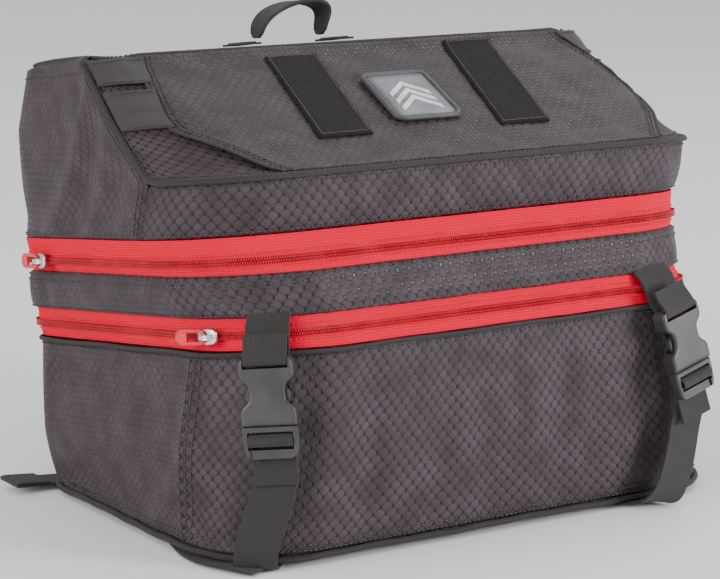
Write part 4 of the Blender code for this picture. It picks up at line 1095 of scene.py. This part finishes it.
def build_wings():
    """Four strips of smooth elastic from the pocket panel's edges to the slope's side seams."""
    for name, low, high in (("upper", 116.0, 144.0), ("lower", 63.0, 107.0)):
        for side_name, side in (("left", -1.0), ("right", 1.0)):
            runs = low + edged_steps(high - low, 3.0)
            height = LID_SEAM + (RIDGE - LID_SEAM) * runs / SLOPE_LENGTH
            half = np.interp(height, LEVELS[:, 0], LEVELS[:, 1])
            inner = np.interp(runs, OVERLAY_EDGE[:, 0], OVERLAY_EDGE[:, 1]) - 3.0
            outer = half - 0.8
            lefts, rights = (inner, MIDDLE_X + outer) if side > 0 else (MIDDLE_X - outer, -inner)
            panel, x = slope_panel("wing", runs, lefts, rights, 2.6, 12)
            pull = 0.4 * np.sin(runs / 3.4)[:, None] * np.sin(np.linspace(0, math.pi, x.shape[1]))[None, :]
            panel.points = panel.points + grid_normals(panel.points) * pull[..., None]
            node = f"wing_{name}_{side_name}"
            finish_sheet(panel, x, "lid", ELASTIC, 1.1, node, "elastic")
            for v in (2.0, panel.upward[-1] - 2.0):
                u = np.linspace(1.0, panel.across[-1] - 1.0, 20)
                line, out = panel.sample(u, np.full(20, v), 0.2)
                stitch(line, out, "lid", pitch=2.6)


def build_patches():
    """Two loop-pile patches, each sewn down with a stitched border."""
    for side_name, low, high, left, right in (("left", 38.0, 136.0, (-91.0, -73.0), (-55.0, -37.0)),
                                              ("right", 36.0, 141.0, (36.0, 60.0), (72.0, 96.0))):
        runs = low + edged_steps(high - low, 3.0)
        share = (runs - low) / (high - low)
        lefts = left[0] + (left[1] - left[0]) * share
        rights = right[0] + (right[1] - right[0]) * share
        panel, x = slope_panel("patch", runs, lefts, rights, OVERLAY_PROUD + 2.1, 16)
        panel.crease(0.7, 1.2)
        rough = np.random.default_rng(5).normal(0.0, 0.12, x.shape)
        panel.points = panel.points + grid_normals(panel.points) * rough[..., None]
        node = "loop_patch_" + side_name
        finish_sheet(panel, x, "lid", PILE, 1.6, node, "loop_pile")
        width, height = panel.across[-1], panel.upward[-1]
        inset = 2.0
        stitch_panel(panel, [(inset, inset), (width - inset, inset), (width - inset, height - inset),
                             (inset, height - inset), (inset, inset)], "lid", "grey", 0.15, 2.6)


def rounded_corners(half_wide, half_tall, corner, steps=6):
    """An anticlockwise outline of a rectangle with round corners."""
    outline = []
    for sx, sy, first in ((1, 1, 0.0), (-1, 1, 0.5), (-1, -1, 1.0), (1, -1, 1.5)):
        for step in range(steps + 1):
            turn = math.pi * (first + 0.5 * step / steps)
            outline.append((sx * (half_wide - corner) + corner * math.cos(turn),
                            sy * (half_tall - corner) + corner * math.sin(turn)))
    return np.array(outline)


BADGE_PLACE = (-5.0, 76.0)
BADGE_SKEW = 0.10
BADGE_HALF = (24.0, 28.5)


def badge_points(outline, proud):
    """An outline laid on the slope at the badge's place, a little skewed."""
    x = BADGE_PLACE[0] + outline[:, 0] + BADGE_SKEW * outline[:, 1]
    return slope_place(x, BADGE_PLACE[1] + outline[:, 1], proud)[0]


def build_badge():
    """A moulded rubber patch: dark raised border, grey field and a plain chevron mark."""
    wide, tall = BADGE_HALF
    base = OVERLAY_PROUD + 1.1
    rings = [badge_points(rounded_corners(wide - inset, tall - inset, max(7.0 - inset, 1.5)), base + rise)
             for inset, rise in ((0.6, 0.0), (0.0, 0.6), (0.0, 2.0), (0.5, 2.7), (2.4, 2.8), (3.0, 2.2),
                                 (3.2, 1.6))]
    ring_object("rubber_badge_border", rings, "lid", BADGE_RIM, closed=True)
    face = [badge_points(rounded_corners(wide - inset, tall - inset, max(7.0 - inset, 1.5)), base + rise)
            for inset, rise in ((3.1, 0.0), (3.1, 1.7), (9.0, 1.8), (16.0, 1.8))]
    plate = ring_object("rubber_badge_field", face, "lid", BADGE_FACE, closed=False)
    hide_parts("rubber_badge")
    for order, (rise, reach) in enumerate(((9.0, 14.0), (0.5, 14.0), (-8.0, 14.0))):
        peak = 6.5
        line = np.array(((-reach, rise - peak), (0.0, rise + peak), (reach, rise - peak)))
        inner = line - np.array((0.0, 4.4))
        outline = np.concatenate([line, inner[::-1]])
        low, high = (badge_points(outline, base + r) for r in (1.5, 2.5))
        points = np.concatenate([low, high])
        faces = [(0, 1, 4, 5)[::-1], (1, 2, 3, 4)[::-1], (6, 7, 10, 11), (7, 8, 9, 10)]
        faces += [(k, (k + 1) % 6, (k + 1) % 6 + 6, k + 6) for k in range(6)]
        mark = make_object(f"rubber_badge_chevron_{order + 1}", points, faces, "lid", BADGE_MARK)
        outward(mark)
        soften_edges(mark, 0.3, 2)


def outward(thing):
    """Turns a closed mesh's faces outwards."""
    shape = bmesh.new()
    shape.from_mesh(thing.data)
    bmesh.ops.recalc_face_normals(shape, faces=shape.faces)
    shape.to_mesh(thing.data)
    shape.free()


def soften_edges(thing, width, segments=3, angle=35.0):
    """Rounds a moulding's sharp edges."""
    bevel = thing.modifiers.new("rounding", "BEVEL")
    bevel.width = width * 0.001
    bevel.segments = segments
    bevel.limit_method = "ANGLE"
    bevel.angle_limit = math.radians(angle)
    bevel.harden_normals = True


def ring_object(name, rings, body, material, closed):
    """Rings of equal length joined into a solid: closed on itself, or capped at both ends."""
    faces = ring_faces(len(rings), len(rings[0]), closed)
    thing = make_object(name, np.concatenate(rings), faces, body, material)
    outward(thing)
    return thing


# ---------------------------------------------------------------- webbing

def smooth_route(route, across, step=1.6):
    """A route with its corners cut three times over, then spaced evenly."""
    def cut_corners(line):
        near, far = line[:-1] * 0.75 + line[1:] * 0.25, line[:-1] * 0.25 + line[1:] * 0.75
        return np.concatenate([line[:1], np.stack([near, far], 1).reshape(-1, 3), line[-1:]])

    route, across = np.asarray(route, float), np.asarray(across, float)
    for _ in range(3):
        route, across = cut_corners(route), cut_corners(across)
    length = distances(route)
    along = np.linspace(0.0, length[-1], max(3, int(length[-1] / step)))
    return read_along(along, length, route), read_along(along, length, across), along


WEBBING_HALF = 12.5
WEBBING_THICK = 1.5
SELVEDGE = ((-1.0, 0.0), (-0.985, 0.75), (-0.94, 1.0), (-0.88, 0.82), (-0.5, 0.88), (0.0, 0.9), (0.5, 0.88),
            (0.88, 0.82), (0.94, 1.0), (0.985, 0.75), (1.0, 0.0))


def ribbon(name, route, across, body, material=None, replaces=(), half=WEBBING_HALF,
           thick=WEBBING_THICK, wander=0.0, seed=0.0):
    """Woven webbing along a route, with a thicker selvedge along both edges."""
    route, across, along = smooth_route(route, across)
    forward = unit(np.gradient(route, axis=0))
    wide = unit(across - forward * (across * forward).sum(1, keepdims=True))
    face = np.cross(forward, wide)
    if np.ndim(half):
        halves = np.interp(along / along[-1], np.linspace(0, 1, len(half)), half)
    else:
        halves = half + 0 * along
    route = route + wide * (wander * np.sin(along / 17.0 + seed))[:, None]
    section = list(SELVEDGE) + [(a, -b) for a, b in reversed(SELVEDGE[1:-1])]
    points = np.stack([route + wide * (a * halves)[:, None] + face * b * thick / 2.0 for a, b in section], 1)
    count, sides = len(route), len(section)
    faces = [(i * sides + k, (i + 1) * sides + k, (i + 1) * sides + (k + 1) % sides,
              i * sides + (k + 1) % sides)
             for i in range(count - 1) for k in range(sides)]
    faces += [tuple(range(sides)), tuple(range((count - 1) * sides, count * sides))[::-1]]
    weave = np.stack([np.broadcast_to(along[:, None], (count, sides)),
                      np.stack([a * halves for a, _ in section], 1), np.zeros((count, sides))], -1)
    thing = make_object(name, points.reshape(-1, 3), faces, body, material or WEBBING, replaces,
                        weave=weave.reshape(-1, 3))
    outward(thing)
    thing.data.set_sharp_from_angle(angle=math.radians(70.0))
    return thing


class StrapFrame:
    """Local axes of one buckle strap, from the buckle's joints: u across, v down, n out."""

    def __init__(self, side_name):
        roots = [JOINTS[f"{side_name}_prong_{part}_squeeze"]["pos_m"] for part in ("inner", "outer")]
        inner, outer = (np.array(TO_BAG @ Vector([1000.0 * c for c in root])) for root in roots)
        turn = WORLD_ROTATION.T
        self.down = turn @ np.array(JOINTS[side_name + "_buckle_release"]["axis"])
        self.out = turn @ np.array(JOINTS[side_name + "_prong_outer_squeeze"]["axis"])
        self.across = np.cross(self.out, self.down)
        self.top = (inner + outer) / 2.0 - self.down * PRONG_ROOT - self.out * (BUCKLE_BACK + PRONG_MIDDLE)

    def at(self, u, v, n):
        return self.top + self.across * u + self.down * v + self.out * n

    def many(self, points):
        points = np.asarray(points, float)
        flat = self.top + points[:, :1] * self.across + points[:, 1:2] * self.down
        return flat + points[:, 2:] * self.out

    def surface(self, height):
        """How far out of the strap's own plane the bag's outline is at this height."""
        stations = np.linspace(-2.0, 2.0, 401)
        outline = shell(height, stations)
        away = outline - (self.top + self.down * (self.top[2] - height))
        sideways = abs(away[:, 0] * -self.out[1] + away[:, 1] * self.out[0])
        return float(away[np.argmin(sideways)] @ self.out)


PRONG_ROOT = 37.8
PRONG_MIDDLE = 5.2
BUCKLE_BACK = 3.6
SLOT_HALF = 12.9
PLUG_TOP = 38.4
BUCKLE_LENGTH = 56.4


def build_upper_strap(side_name, strap, offset):
    """Webbing from under the band's lower seam, round the socket's bar and back on itself."""
    sewn, straight_below = BAND_BOTTOM - 0.6, BODY_TOP + 2.0
    route = []
    for height, clear in ((sewn + 2.0, 2.2), (sewn - 1.5, 4.6), (132.5, 6.2),
                          (LOWER_COIL - 2.0, 6.6), (119.0, 5.6)):
        aside = offset * max(0.0, (height - straight_below) / (sewn - straight_below))
        route.append(strap.at(aside, strap.top[2] - height, strap.surface(height) + clear))
    bend = ((0.4, 5.2), (3.0, 5.3), (4.5, 6.6), (4.5, 9.4), (4.4, 12.6), (2.8, 13.4), (0.0, 13.0),
            (-3.5, 11.2), (-7.0, 8.6), (-12.0, 7.2))
    route += [strap.at(0.0, v, n) for v, n in bend]
    ribbon(side_name + "_upper_webbing", route, [strap.across] * len(route), "band",
           replaces=(side_name + "_upper_strap",), seed=offset)


def build_strap_tail(side_name, strap):
    """The webbing's free end, over the plug's middle bar and hanging down behind its end bar."""
    bend = ((43.3, 5.0), (43.3, 8.0), (43.5, 12.2), (44.6, 13.9), (46.3, 14.3), (48.0, 13.9), (49.1, 12.4),
            (49.3, 9.0), (49.6, 6.0), (51.6, 4.85), (56.0, 4.8), (62.0, 4.9), (72.0, 5.0))
    route = [strap.at(0.0, v, n) for v, n in bend]
    ribbon(side_name + "_tail_webbing", route, [strap.across] * len(route), side_name + "_plug",
           replaces=(side_name + "_strap_tail",))


def base_point(x, y, rise):
    """A point a given height above the plane of the base seam, which slopes in the bag frame."""
    return np.array((x, y - rise * math.sin(LEAN), y * math.tan(LEAN) + rise * math.cos(LEAN)))


def floor_point(x, y, rise=0.8):
    return base_point(x, y, rise - SEAT_HEIGHT)


def floor_direction(x, y):
    return np.array((x, y * math.cos(LEAN), y * math.sin(LEAN)))


def build_lower_straps(straps):
    """Webbing from behind each plug down the bag's front and on under its base."""
    strap = straps["left"]
    places = ((0.0, 51.5, 2.8), (0.0, 64.0, 2.8), (-3.4, 78.0, 2.8), (-9.0, 92.0, 2.6), (-14.0, 105.0, 2.8),
              (-15.5, 113.0, 2.6), (-16.0, 118.6, 1.8))
    route = [strap.at(*place) for place in places]
    across = [strap.across] * len(route)
    level = floor_direction(strap.across[0], strap.across[1])
    for inwards, rise in ((2.0, 1.1), (12.0, 0.8), (40.0, 0.8), (76.0, 0.8)):
        under = strap.at(-16.0, 0.0, -inwards)
        route.append(floor_point(under[0], under[1], rise))
        across.append(level)
    ribbon("left_lower_webbing", route, across, "bag", replaces=("left_lower_strap",), wander=0.3)
    slack = ((-163.0, 8.0, 2.0, (0.85, -0.30)), (-168.0, 20.0, 2.2, (0.92, 0.10)),
             (-178.0, 44.0, 1.7, (0.97, 0.05)), (-171.0, 76.0, 1.2, (0.97, -0.22)),
             (-160.0, 100.0, 0.9, (0.92, -0.38)))
    route = [floor_point(x, y, rise) for x, y, rise, _ in slack]
    ribbon("left_lower_webbing_slack", route, [floor_direction(*wide) for *_, wide in slack], "bag")
    strap = straps["right"]
    route = [strap.at(0.0, 51.5, 2.8), strap.at(0.0, 64.0, 2.8)]
    across = [strap.across] * 2
    for place, wide in (((123.0, -17.5, 44.0), (0.95, 0.1, -0.24)), ((119.0, -17.5, 27.0), (0.93, 0.1, -0.3)),
                        ((113.0, -17.0, 11.0), (0.9, 0.1, -0.4)), ((107.0, -14.5, -1.0), (0.9, 0.1, -0.3))):
        route.append(np.array(place))
        across.append(np.array(wide))
    for x, y, rise, turn in ((101.0, 0.0, 1.9, 0.1), (97.0, 26.0, 0.8, 0.1), (95.0, 90.0, 0.8, 0.05)):
        route.append(floor_point(x, y, rise))
        across.append(floor_direction(1.0, turn))
    ribbon("right_lower_webbing", route, across, "bag", replaces=("right_lower_strap",), wander=0.4, seed=2.0)


REAR_STRAP_Y = 236.0
REAR_REACH = 207.0


def build_rear_strap():
    """The webbing under the back edge; both ends stick out, folded back once and sewn."""
    reach, y = REAR_REACH, REAR_STRAP_Y
    xs = (-reach, -reach + 12.0, -reach + 40.0, -150.0, -120.0, 0.0, 120.0, 150.0, reach - 40.0,
          reach - 12.0, reach)
    lift = (5.6, 4.6, 2.4, 0.9, 0.8, 0.8, 0.8, 0.9, 2.4, 4.4, 5.2)
    route = [floor_point(x, y + 1.5 * math.sin(x / 40.0), rise) for x, rise in zip(xs, lift)]
    ribbon("rear_webbing", route, [floor_direction(0.0, 1.0)] * len(route), "bag", replaces=("rear_strap",))
    for side_name, side in (("left", -1.0), ("right", 1.0)):
        fold = ((reach, 5.2), (reach + 1.2, 6.2), (reach - 0.5, 7.2), (reach - 12.0, 6.1),
                (reach - 22.0, 5.2))
        hem = [floor_point(side * x, y + 1.5 * math.sin(side * x / 40.0), rise) for x, rise in fold]
        ribbon(f"rear_webbing_hem_{side_name}", hem, [floor_direction(0.0, side * 1.0)] * len(hem), "bag",
               half=12.2)


HANDLE_PLACE = TO_BAG @ (Vector(JOINTS["handle_fold"]["pos_m"]) * 1000.0)
HANDLE_SPAN = 23.5
HANDLE_RISE = 21.5
HANDLE_LEAN = 12.0
TAB_MIDDLE = 34.5


def build_handle():
    """The grab loop: webbing folded double along its middle, flat where it is sewn down."""
    foot = np.array(HANDLE_PLACE)
    route, across, halves = [], [], []
    for i in range(25):
        turn = math.pi * i / 24
        rise = HANDLE_RISE * math.sin(turn) ** 0.62
        x = HANDLE_LEAN * math.sin(turn) - HANDLE_SPAN * math.cos(turn) * (1.0 + 0.08 * math.sin(turn))
        route.append(foot + np.array((x, 0.0, rise)))
        across.append((0.0, 1.0, 0.10 * math.cos(turn)))
        halves.append(3.4 + 7.8 * math.sin(turn) ** 0.42)
    ribbon("carry_handle_webbing", route, across, "handle", replaces=("carry_handle",), half=halves,
           thick=2.4)
    for side_name, side in (("left", -1.0), ("right", 1.0)):
        x = foot[0] + side * TAB_MIDDLE
        z = foot[2] - 3.3
        tab = [(x, foot[1] + dy, z - abs(dy) * 0.02) for dy in (-14.0, -6.0, 6.0, 14.0)]
        ribbon(f"handle_tab_webbing_{side_name}", tab, [(-1.0, 0.0, 0.0)] * 4, "lid",
               replaces=("handle_tab_" + side_name,), half=6.0, thick=1.4)
        box = np.array(((x - 4.0, foot[1] - 10.0), (x + 4.0, foot[1] - 10.0), (x + 4.0, foot[1] + 10.0),
                        (x - 4.0, foot[1] + 10.0), (x - 4.0, foot[1] - 10.0)))
        steps = np.linspace(0.0, 4.0, 41)
        line = np.stack([np.interp(steps, range(5), box[:, 0]), np.interp(steps, range(5), box[:, 1]),
                         np.full(41, z + 0.75)], -1)
        stitch(line, np.tile((0.0, 0.0, 1.0), (41, 1)), "lid", pitch=2.4)


# ---------------------------------------------------------------- buckles

def moulding(name, strap, shape, steps, layers, body, material):
    """A solid from a half-width outline, its rims rounded by layers of (height, inset)."""
    v = np.linspace(shape[0][0], shape[-1][0], steps)
    right = np.stack([np.interp(v, *np.transpose(shape)), v], -1)
    outline = np.concatenate([right, right[::-1] * (-1.0, 1.0)])
    rings = []
    for n, inset in layers:
        ring = outline.copy()
        ring[:, 0] -= np.sign(outline[:, 0]) * inset
        ring[:, 1] = np.clip(outline[:, 1], shape[0][0] + inset, shape[-1][0] - inset)
        rings.append(strap.many(np.column_stack([ring, np.full(len(ring), BUCKLE_BACK + n)])))
    return ring_object(name, rings, body, material, False)


def cut(thing, strap, u, v, n):
    """Cuts a box, given by its ranges in the strap's axes, out of a moulding."""
    corners = [strap.at(a, b, BUCKLE_BACK + c) for a in u for b in v for c in n]
    faces = [(0, 1, 3, 2), (4, 6, 7, 5), (0, 4, 5, 1), (2, 3, 7, 6), (0, 2, 6, 4), (1, 5, 7, 3)]
    mesh = bpy.data.meshes.new("cutter")
    mesh.from_pydata(to_world(corners).tolist(), [], faces)
    cutter = bpy.data.objects.new("cutter", mesh)
    bpy.context.scene.collection.objects.link(cutter)
    outward(cutter)
    boolean = thing.modifiers.new("cut", "BOOLEAN")
    boolean.operation = "DIFFERENCE"
    boolean.object = cutter
    apply_modifiers(thing)
    bpy.data.objects.remove(cutter)
    bpy.data.meshes.remove(mesh)


def apply_modifiers(thing):
    """Makes a thing's modifiers part of its mesh."""
    graph = bpy.context.evaluated_depsgraph_get()
    result = bpy.data.meshes.new_from_object(thing.evaluated_get(graph))
    thing.modifiers.clear()
    thing.data = result


# Half widths of the buckle's two halves at each distance down from its top
SOCKET_SHAPE = ((0.0, 12.2), (0.8, 13.8), (2.2, 14.9), (4.0, 15.4), (9.0, 15.4), (11.0, 15.0),
                (12.6, 13.8), (14.2, 11.8), (16.0, 10.6), (18.5, 10.1), (21.5, 10.1), (24.0, 10.7),
                (25.8, 12.2), (27.2, 14.0), (28.6, 15.1), (30.5, 15.6), (36.8, 15.6), (38.0, 15.2))
PLUG_SHAPE = ((PLUG_TOP, 15.2), (39.2, 15.7), (46.0, 15.6), (52.0, 15.0), (54.4, 14.4), (55.6, 13.2),
              (BUCKLE_LENGTH, 11.2))
PRONG_OUTSIDE = ((16.6, 9.0), (17.4, 10.6), (19.0, 12.0), (20.5, 12.4), (23.6, 12.4), (25.2, 11.8),
                 (27.5, 10.6), (PRONG_ROOT, 10.4))
PRONG_INSIDE = ((16.8, 7.8), (18.5, 7.4), (24.5, 7.4), (27.5, 7.2), (PRONG_ROOT, 6.8))


def build_buckle(side_name, strap):
    """A side-release buckle: socket on the band's strap, plug and two sprung prongs on the tail."""
    socket = moulding(side_name + "_socket_moulding", strap, SOCKET_SHAPE, 58,
                      ((0.0, 0.8), (0.4, 0.25), (0.9, 0.0), (8.6, 0.0), (9.3, 0.25), (9.8, 0.9), (10.0, 2.0)),
                      "band", BUCKLE)
    cut(socket, strap, (-SLOT_HALF, SLOT_HALF), (2.9, 6.2), (-1.0, 12.0))
    cut(socket, strap, (-SLOT_HALF, SLOT_HALF), (-1.0, 3.4), (-1.0, 3.2))
    cut(socket, strap, (-SLOT_HALF, SLOT_HALF), (-1.0, 3.4), (7.2, 12.0))
    cut(socket, strap, (-SLOT_HALF, SLOT_HALF), (12.0, 40.0), (2.2, 7.8))
    socket.data.shade_flat()
    soften_edges(socket, 0.35, 2)
    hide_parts(side_name + "_buckle_socket")
    plug = moulding(side_name + "_plug_moulding", strap, PLUG_SHAPE, 30,
                    ((2.4, 0.8), (2.8, 0.2), (3.3, 0.0), (8.0, 0.0), (8.6, 0.3), (9.0, 1.1)),
                    side_name + "_plug", BUCKLE)
    cut(plug, strap, (-SLOT_HALF, SLOT_HALF), (41.4, 45.0), (0.0, 12.0))
    cut(plug, strap, (-SLOT_HALF, SLOT_HALF), (47.6, 51.4), (0.0, 12.0))
    cut(plug, strap, (-SLOT_HALF, SLOT_HALF), (44.0, 48.6), (7.8, 12.0))
    cut(plug, strap, (-SLOT_HALF + 1.0, SLOT_HALF - 1.0), (51.0, 60.0), (7.6, 12.0))
    plug.data.shade_flat()
    soften_edges(plug, 0.35, 2)
    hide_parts(side_name + "_buckle_plug")
    guide = moulding(side_name + "_plug_guide", strap, ((15.0, 1.4), (17.0, 2.6), (PLUG_TOP + 0.5, 2.6)), 12,
                     ((3.6, 0.3), (4.0, 0.0), (6.6, 0.0), (7.0, 0.3)), side_name + "_plug", BUCKLE)
    soften_edges(guide, 0.2, 2)
    for prong_name, side in (("inner", -1.0), ("outer", 1.0)):
        ring = np.array(PRONG_OUTSIDE + PRONG_INSIDE[::-1])[:, ::-1] * (side, 1.0)
        rings = [strap.many(np.column_stack([ring, np.full(len(ring), BUCKLE_BACK + PRONG_MIDDLE + n)]))
                 for n in (-1.6, 1.6)]
        prong = ring_object(f"{side_name}_prong_{prong_name}_moulding", rings,
                            f"{side_name}_prong_{prong_name}",
                            BUCKLE, False)
        soften_edges(prong, 0.4, 3, 25.0)
        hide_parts(f"{side_name}_prong_{prong_name}")


# ---------------------------------------------------------------- zip sliders

PULL_LIFT = 3.7
PULL_LENGTH = 22.0


class SliderFrame(StrapFrame):
    """Local axes of a slider: u along the zip to the rear, v up, n out of the bag."""

    def __init__(self, centre, out):
        self.top = centre
        self.out = out
        self.across = np.cross(np.array((0.0, 0.0, 1.0)), out) * -1.0
        self.down = np.array((0.0, 0.0, 1.0))


def capsule(half_long, half_wide, steps):
    """An outline with straight sides and round ends."""
    turn = np.linspace(-math.pi / 2, math.pi / 2, steps)
    right = np.stack([half_long - half_wide + np.cos(turn) * half_wide, np.sin(turn) * half_wide], -1)
    return np.concatenate([right, -right])


def build_slider(name, body, pull_body, place):
    """A nickel slider: body with rounded flanges, an arched bridge, and a red ring pull."""
    flat = np.array(((-6.5, -2.6), (-4.5, -4.2), (0.0, -4.6), (4.5, -3.6), (6.3, -2.2), (6.5, 0.0)))
    outline = np.concatenate([flat, (flat * (1.0, -1.0))[-2::-1]])
    fine = np.linspace(0, len(outline), 48, endpoint=False)
    closed = np.concatenate([outline, outline[:1]])
    outline = np.stack([np.interp(fine, range(len(closed)), closed[:, k]) for k in range(2)], -1)
    rings = []
    for n, shrink in ((0.0, 0.90), (0.4, 0.97), (0.9, 1.0), (1.9, 1.0), (2.4, 0.96), (2.6, 0.88)):
        rings.append(place.many(np.column_stack([outline * shrink, np.full(len(outline), n)])))
    plate = ring_object(name + "_slider_plate", rings, body, NICKEL, False)
    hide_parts(name + "_slider")
    arch = ((-4.6, 2.2), (-4.4, 3.6), (-3.6, 5.0), (-2.0, 5.8), (0.0, 6.1),
            (2.0, 5.8), (3.6, 5.0), (4.4, 3.6), (4.6, 2.2))
    route = [place.at(u, 0.0, n) for u, n in arch]
    ribbon(name + "_slider_bridge", route, [place.down] * len(route), body, NICKEL,
           half=1.5, thick=1.1)
    middle = PULL_LENGTH / 2.0 - 0.7
    line = capsule(PULL_LENGTH / 2.0 - 1.2, 3.5, 12) + (middle, 0.0)
    normal = np.roll(line, -1, 0) - np.roll(line, 1, 0)
    normal = unit(np.stack([normal[:, 1], -normal[:, 0]], -1))
    sides = [(math.cos(a) * 1.15, math.sin(a) * 0.8) for a in np.linspace(0, 2 * math.pi, 10, endpoint=False)]
    rings = [place.many(np.column_stack([line + normal * a, np.full(len(line), PULL_LIFT + b)]))
             for a, b in sides]
    pull = ring_object(name + "_pull_ring", rings, pull_body, RED_PULL, True)
    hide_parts(name + "_pull")
    grip = [place.at(PULL_LENGTH * s - 1.0, 0.0, PULL_LIFT) for s in (0.62, 0.75, 0.97)]
    ribbon(name + "_pull_grip", grip, [place.down] * 3, pull_body, RED_PULL,
           half=(2.8, 3.4, 2.2), thick=1.9)


def build_sliders():
    """The two sliders, each placed by its pull's joint."""
    for name in ("upper", "lower"):
        pull = np.array(TO_BAG @ (Vector(JOINTS[name + "_pull_swing"]["pos_m"]) * 1000.0))
        if name == "upper":
            out = np.array((-1.0, 0.0, 0.0))
        else:
            corner = np.array(TO_BAG @ (Vector(JOINTS["lower_zip_travel"]["pos_m"]) * 1000.0))
            out = (pull - corner) * (1.0, 1.0, 0.0)
            out /= np.linalg.norm(out)
        place = SliderFrame(pull - out * PULL_LIFT, out)
        build_slider(name + "_zip", name + "_slider", name + "_pull", place)


# ---------------------------------------------------------------- camera, light and floor

def build_stage():
    """A plain pale floor, an even studio light and three soft lamps."""
    scene = bpy.context.scene
    bpy.ops.mesh.primitive_plane_add(size=12.0, location=(0.0, 0.0, -0.0003))
    floor = bpy.context.object
    floor.name = "floor"
    material = bpy.data.materials.new("floor_white")
    material.use_nodes = True
    shader = material.node_tree.nodes["Principled BSDF"]
    shader.inputs["Base Color"].default_value = (0.9, 0.9, 0.9, 1.0)
    shader.inputs["Roughness"].default_value = 0.9
    floor.data.materials.append(material)
    world = bpy.data.worlds.new("studio")
    scene.world = world
    world.use_nodes = True
    background = world.node_tree.nodes["Background"]
    background.inputs[0].default_value = (1.0, 1.0, 1.0, 1.0)
    background.inputs[1].default_value = WORLD_LIGHT
    for name, place, size, power, colour in LIGHTS:
        lamp = bpy.data.lights.new(name, "AREA")
        lamp.shape = "RECTANGLE"
        lamp.size, lamp.size_y = size
        lamp.energy = power
        lamp.color = colour
        thing = bpy.data.objects.new(name, lamp)
        thing.location = place
        thing.rotation_euler = (Vector((0.0, 0.0, 0.15)) - Vector(place)).to_track_quat("-Z", "Y").to_euler()
        scene.collection.objects.link(thing)


WORLD_LIGHT = 0.84
LIGHTS = (
    ("key", (1.5, -1.9, 0.65), (0.9, 0.7), 62.0, (1.0, 0.98, 1.0)),
    ("rim", (1.3, 0.6, 1.9), (0.5, 0.5), 8.0, (0.95, 0.97, 1.0)),
    ("fill", (-2.0, -0.4, 0.8), (1.3, 1.1), 34.0, (1.0, 0.96, 0.92)),
)
CAMERA_PLACE = (-875.34, -1218.76, 262.58)
CAMERA_YAW = 0.5710973
CAMERA_PITCH = 0.0801395
CAMERA_ROLL = -0.0708912
CAMERA_LENS = 129.1


def build_camera():
    """The camera at the viewing angle that the bag was seen from, given in the bag frame."""
    forward = Vector((math.sin(CAMERA_YAW) * math.cos(CAMERA_PITCH),
                      math.cos(CAMERA_YAW) * math.cos(CAMERA_PITCH),
                      -math.sin(CAMERA_PITCH)))
    level = Vector((math.cos(CAMERA_YAW), -math.sin(CAMERA_YAW), 0.0))
    above = level.cross(forward)
    right = level * math.cos(CAMERA_ROLL) + above * math.sin(CAMERA_ROLL)
    up = above * math.cos(CAMERA_ROLL) - level * math.sin(CAMERA_ROLL)
    turn = Matrix((right, up, -forward)).transposed().to_4x4()
    lens = bpy.data.cameras.new("camera")
    lens.lens = CAMERA_LENS
    lens.sensor_width = 36.0
    lens.clip_start = 0.05
    camera = bpy.data.objects.new("camera", lens)
    bpy.context.scene.collection.objects.link(camera)
    camera.matrix_world = Matrix.Translation(Vector(to_world(CAMERA_PLACE))) @ (TURN @ turn)
    bpy.context.scene.camera = camera


build_camera()
build_stage()
build_lower_body()
build_piping()
build_base()
build_zips()
build_band()
build_gusset()
lid_slope, lid_ends = build_lid_panels()
build_ridge_corners(build_lid_top(), lid_slope, lid_ends)
build_hinge()
build_overlay()
build_wings()
build_patches()
build_badge()
build_handle()
straps = {side_name: StrapFrame(side_name) for side_name in ("left", "right")}
for side_name, offset in (("left", 0.0), ("right", 6.0)):
    build_upper_strap(side_name, straps[side_name], offset)
    build_strap_tail(side_name, straps[side_name])
    build_buckle(side_name, straps[side_name])
build_lower_straps(straps)
build_rear_strap()
build_sliders()
frame["nodes"]["base_board"].data.materials.clear()
frame["nodes"]["base_board"].data.materials.append(BOARD)
sew_all()
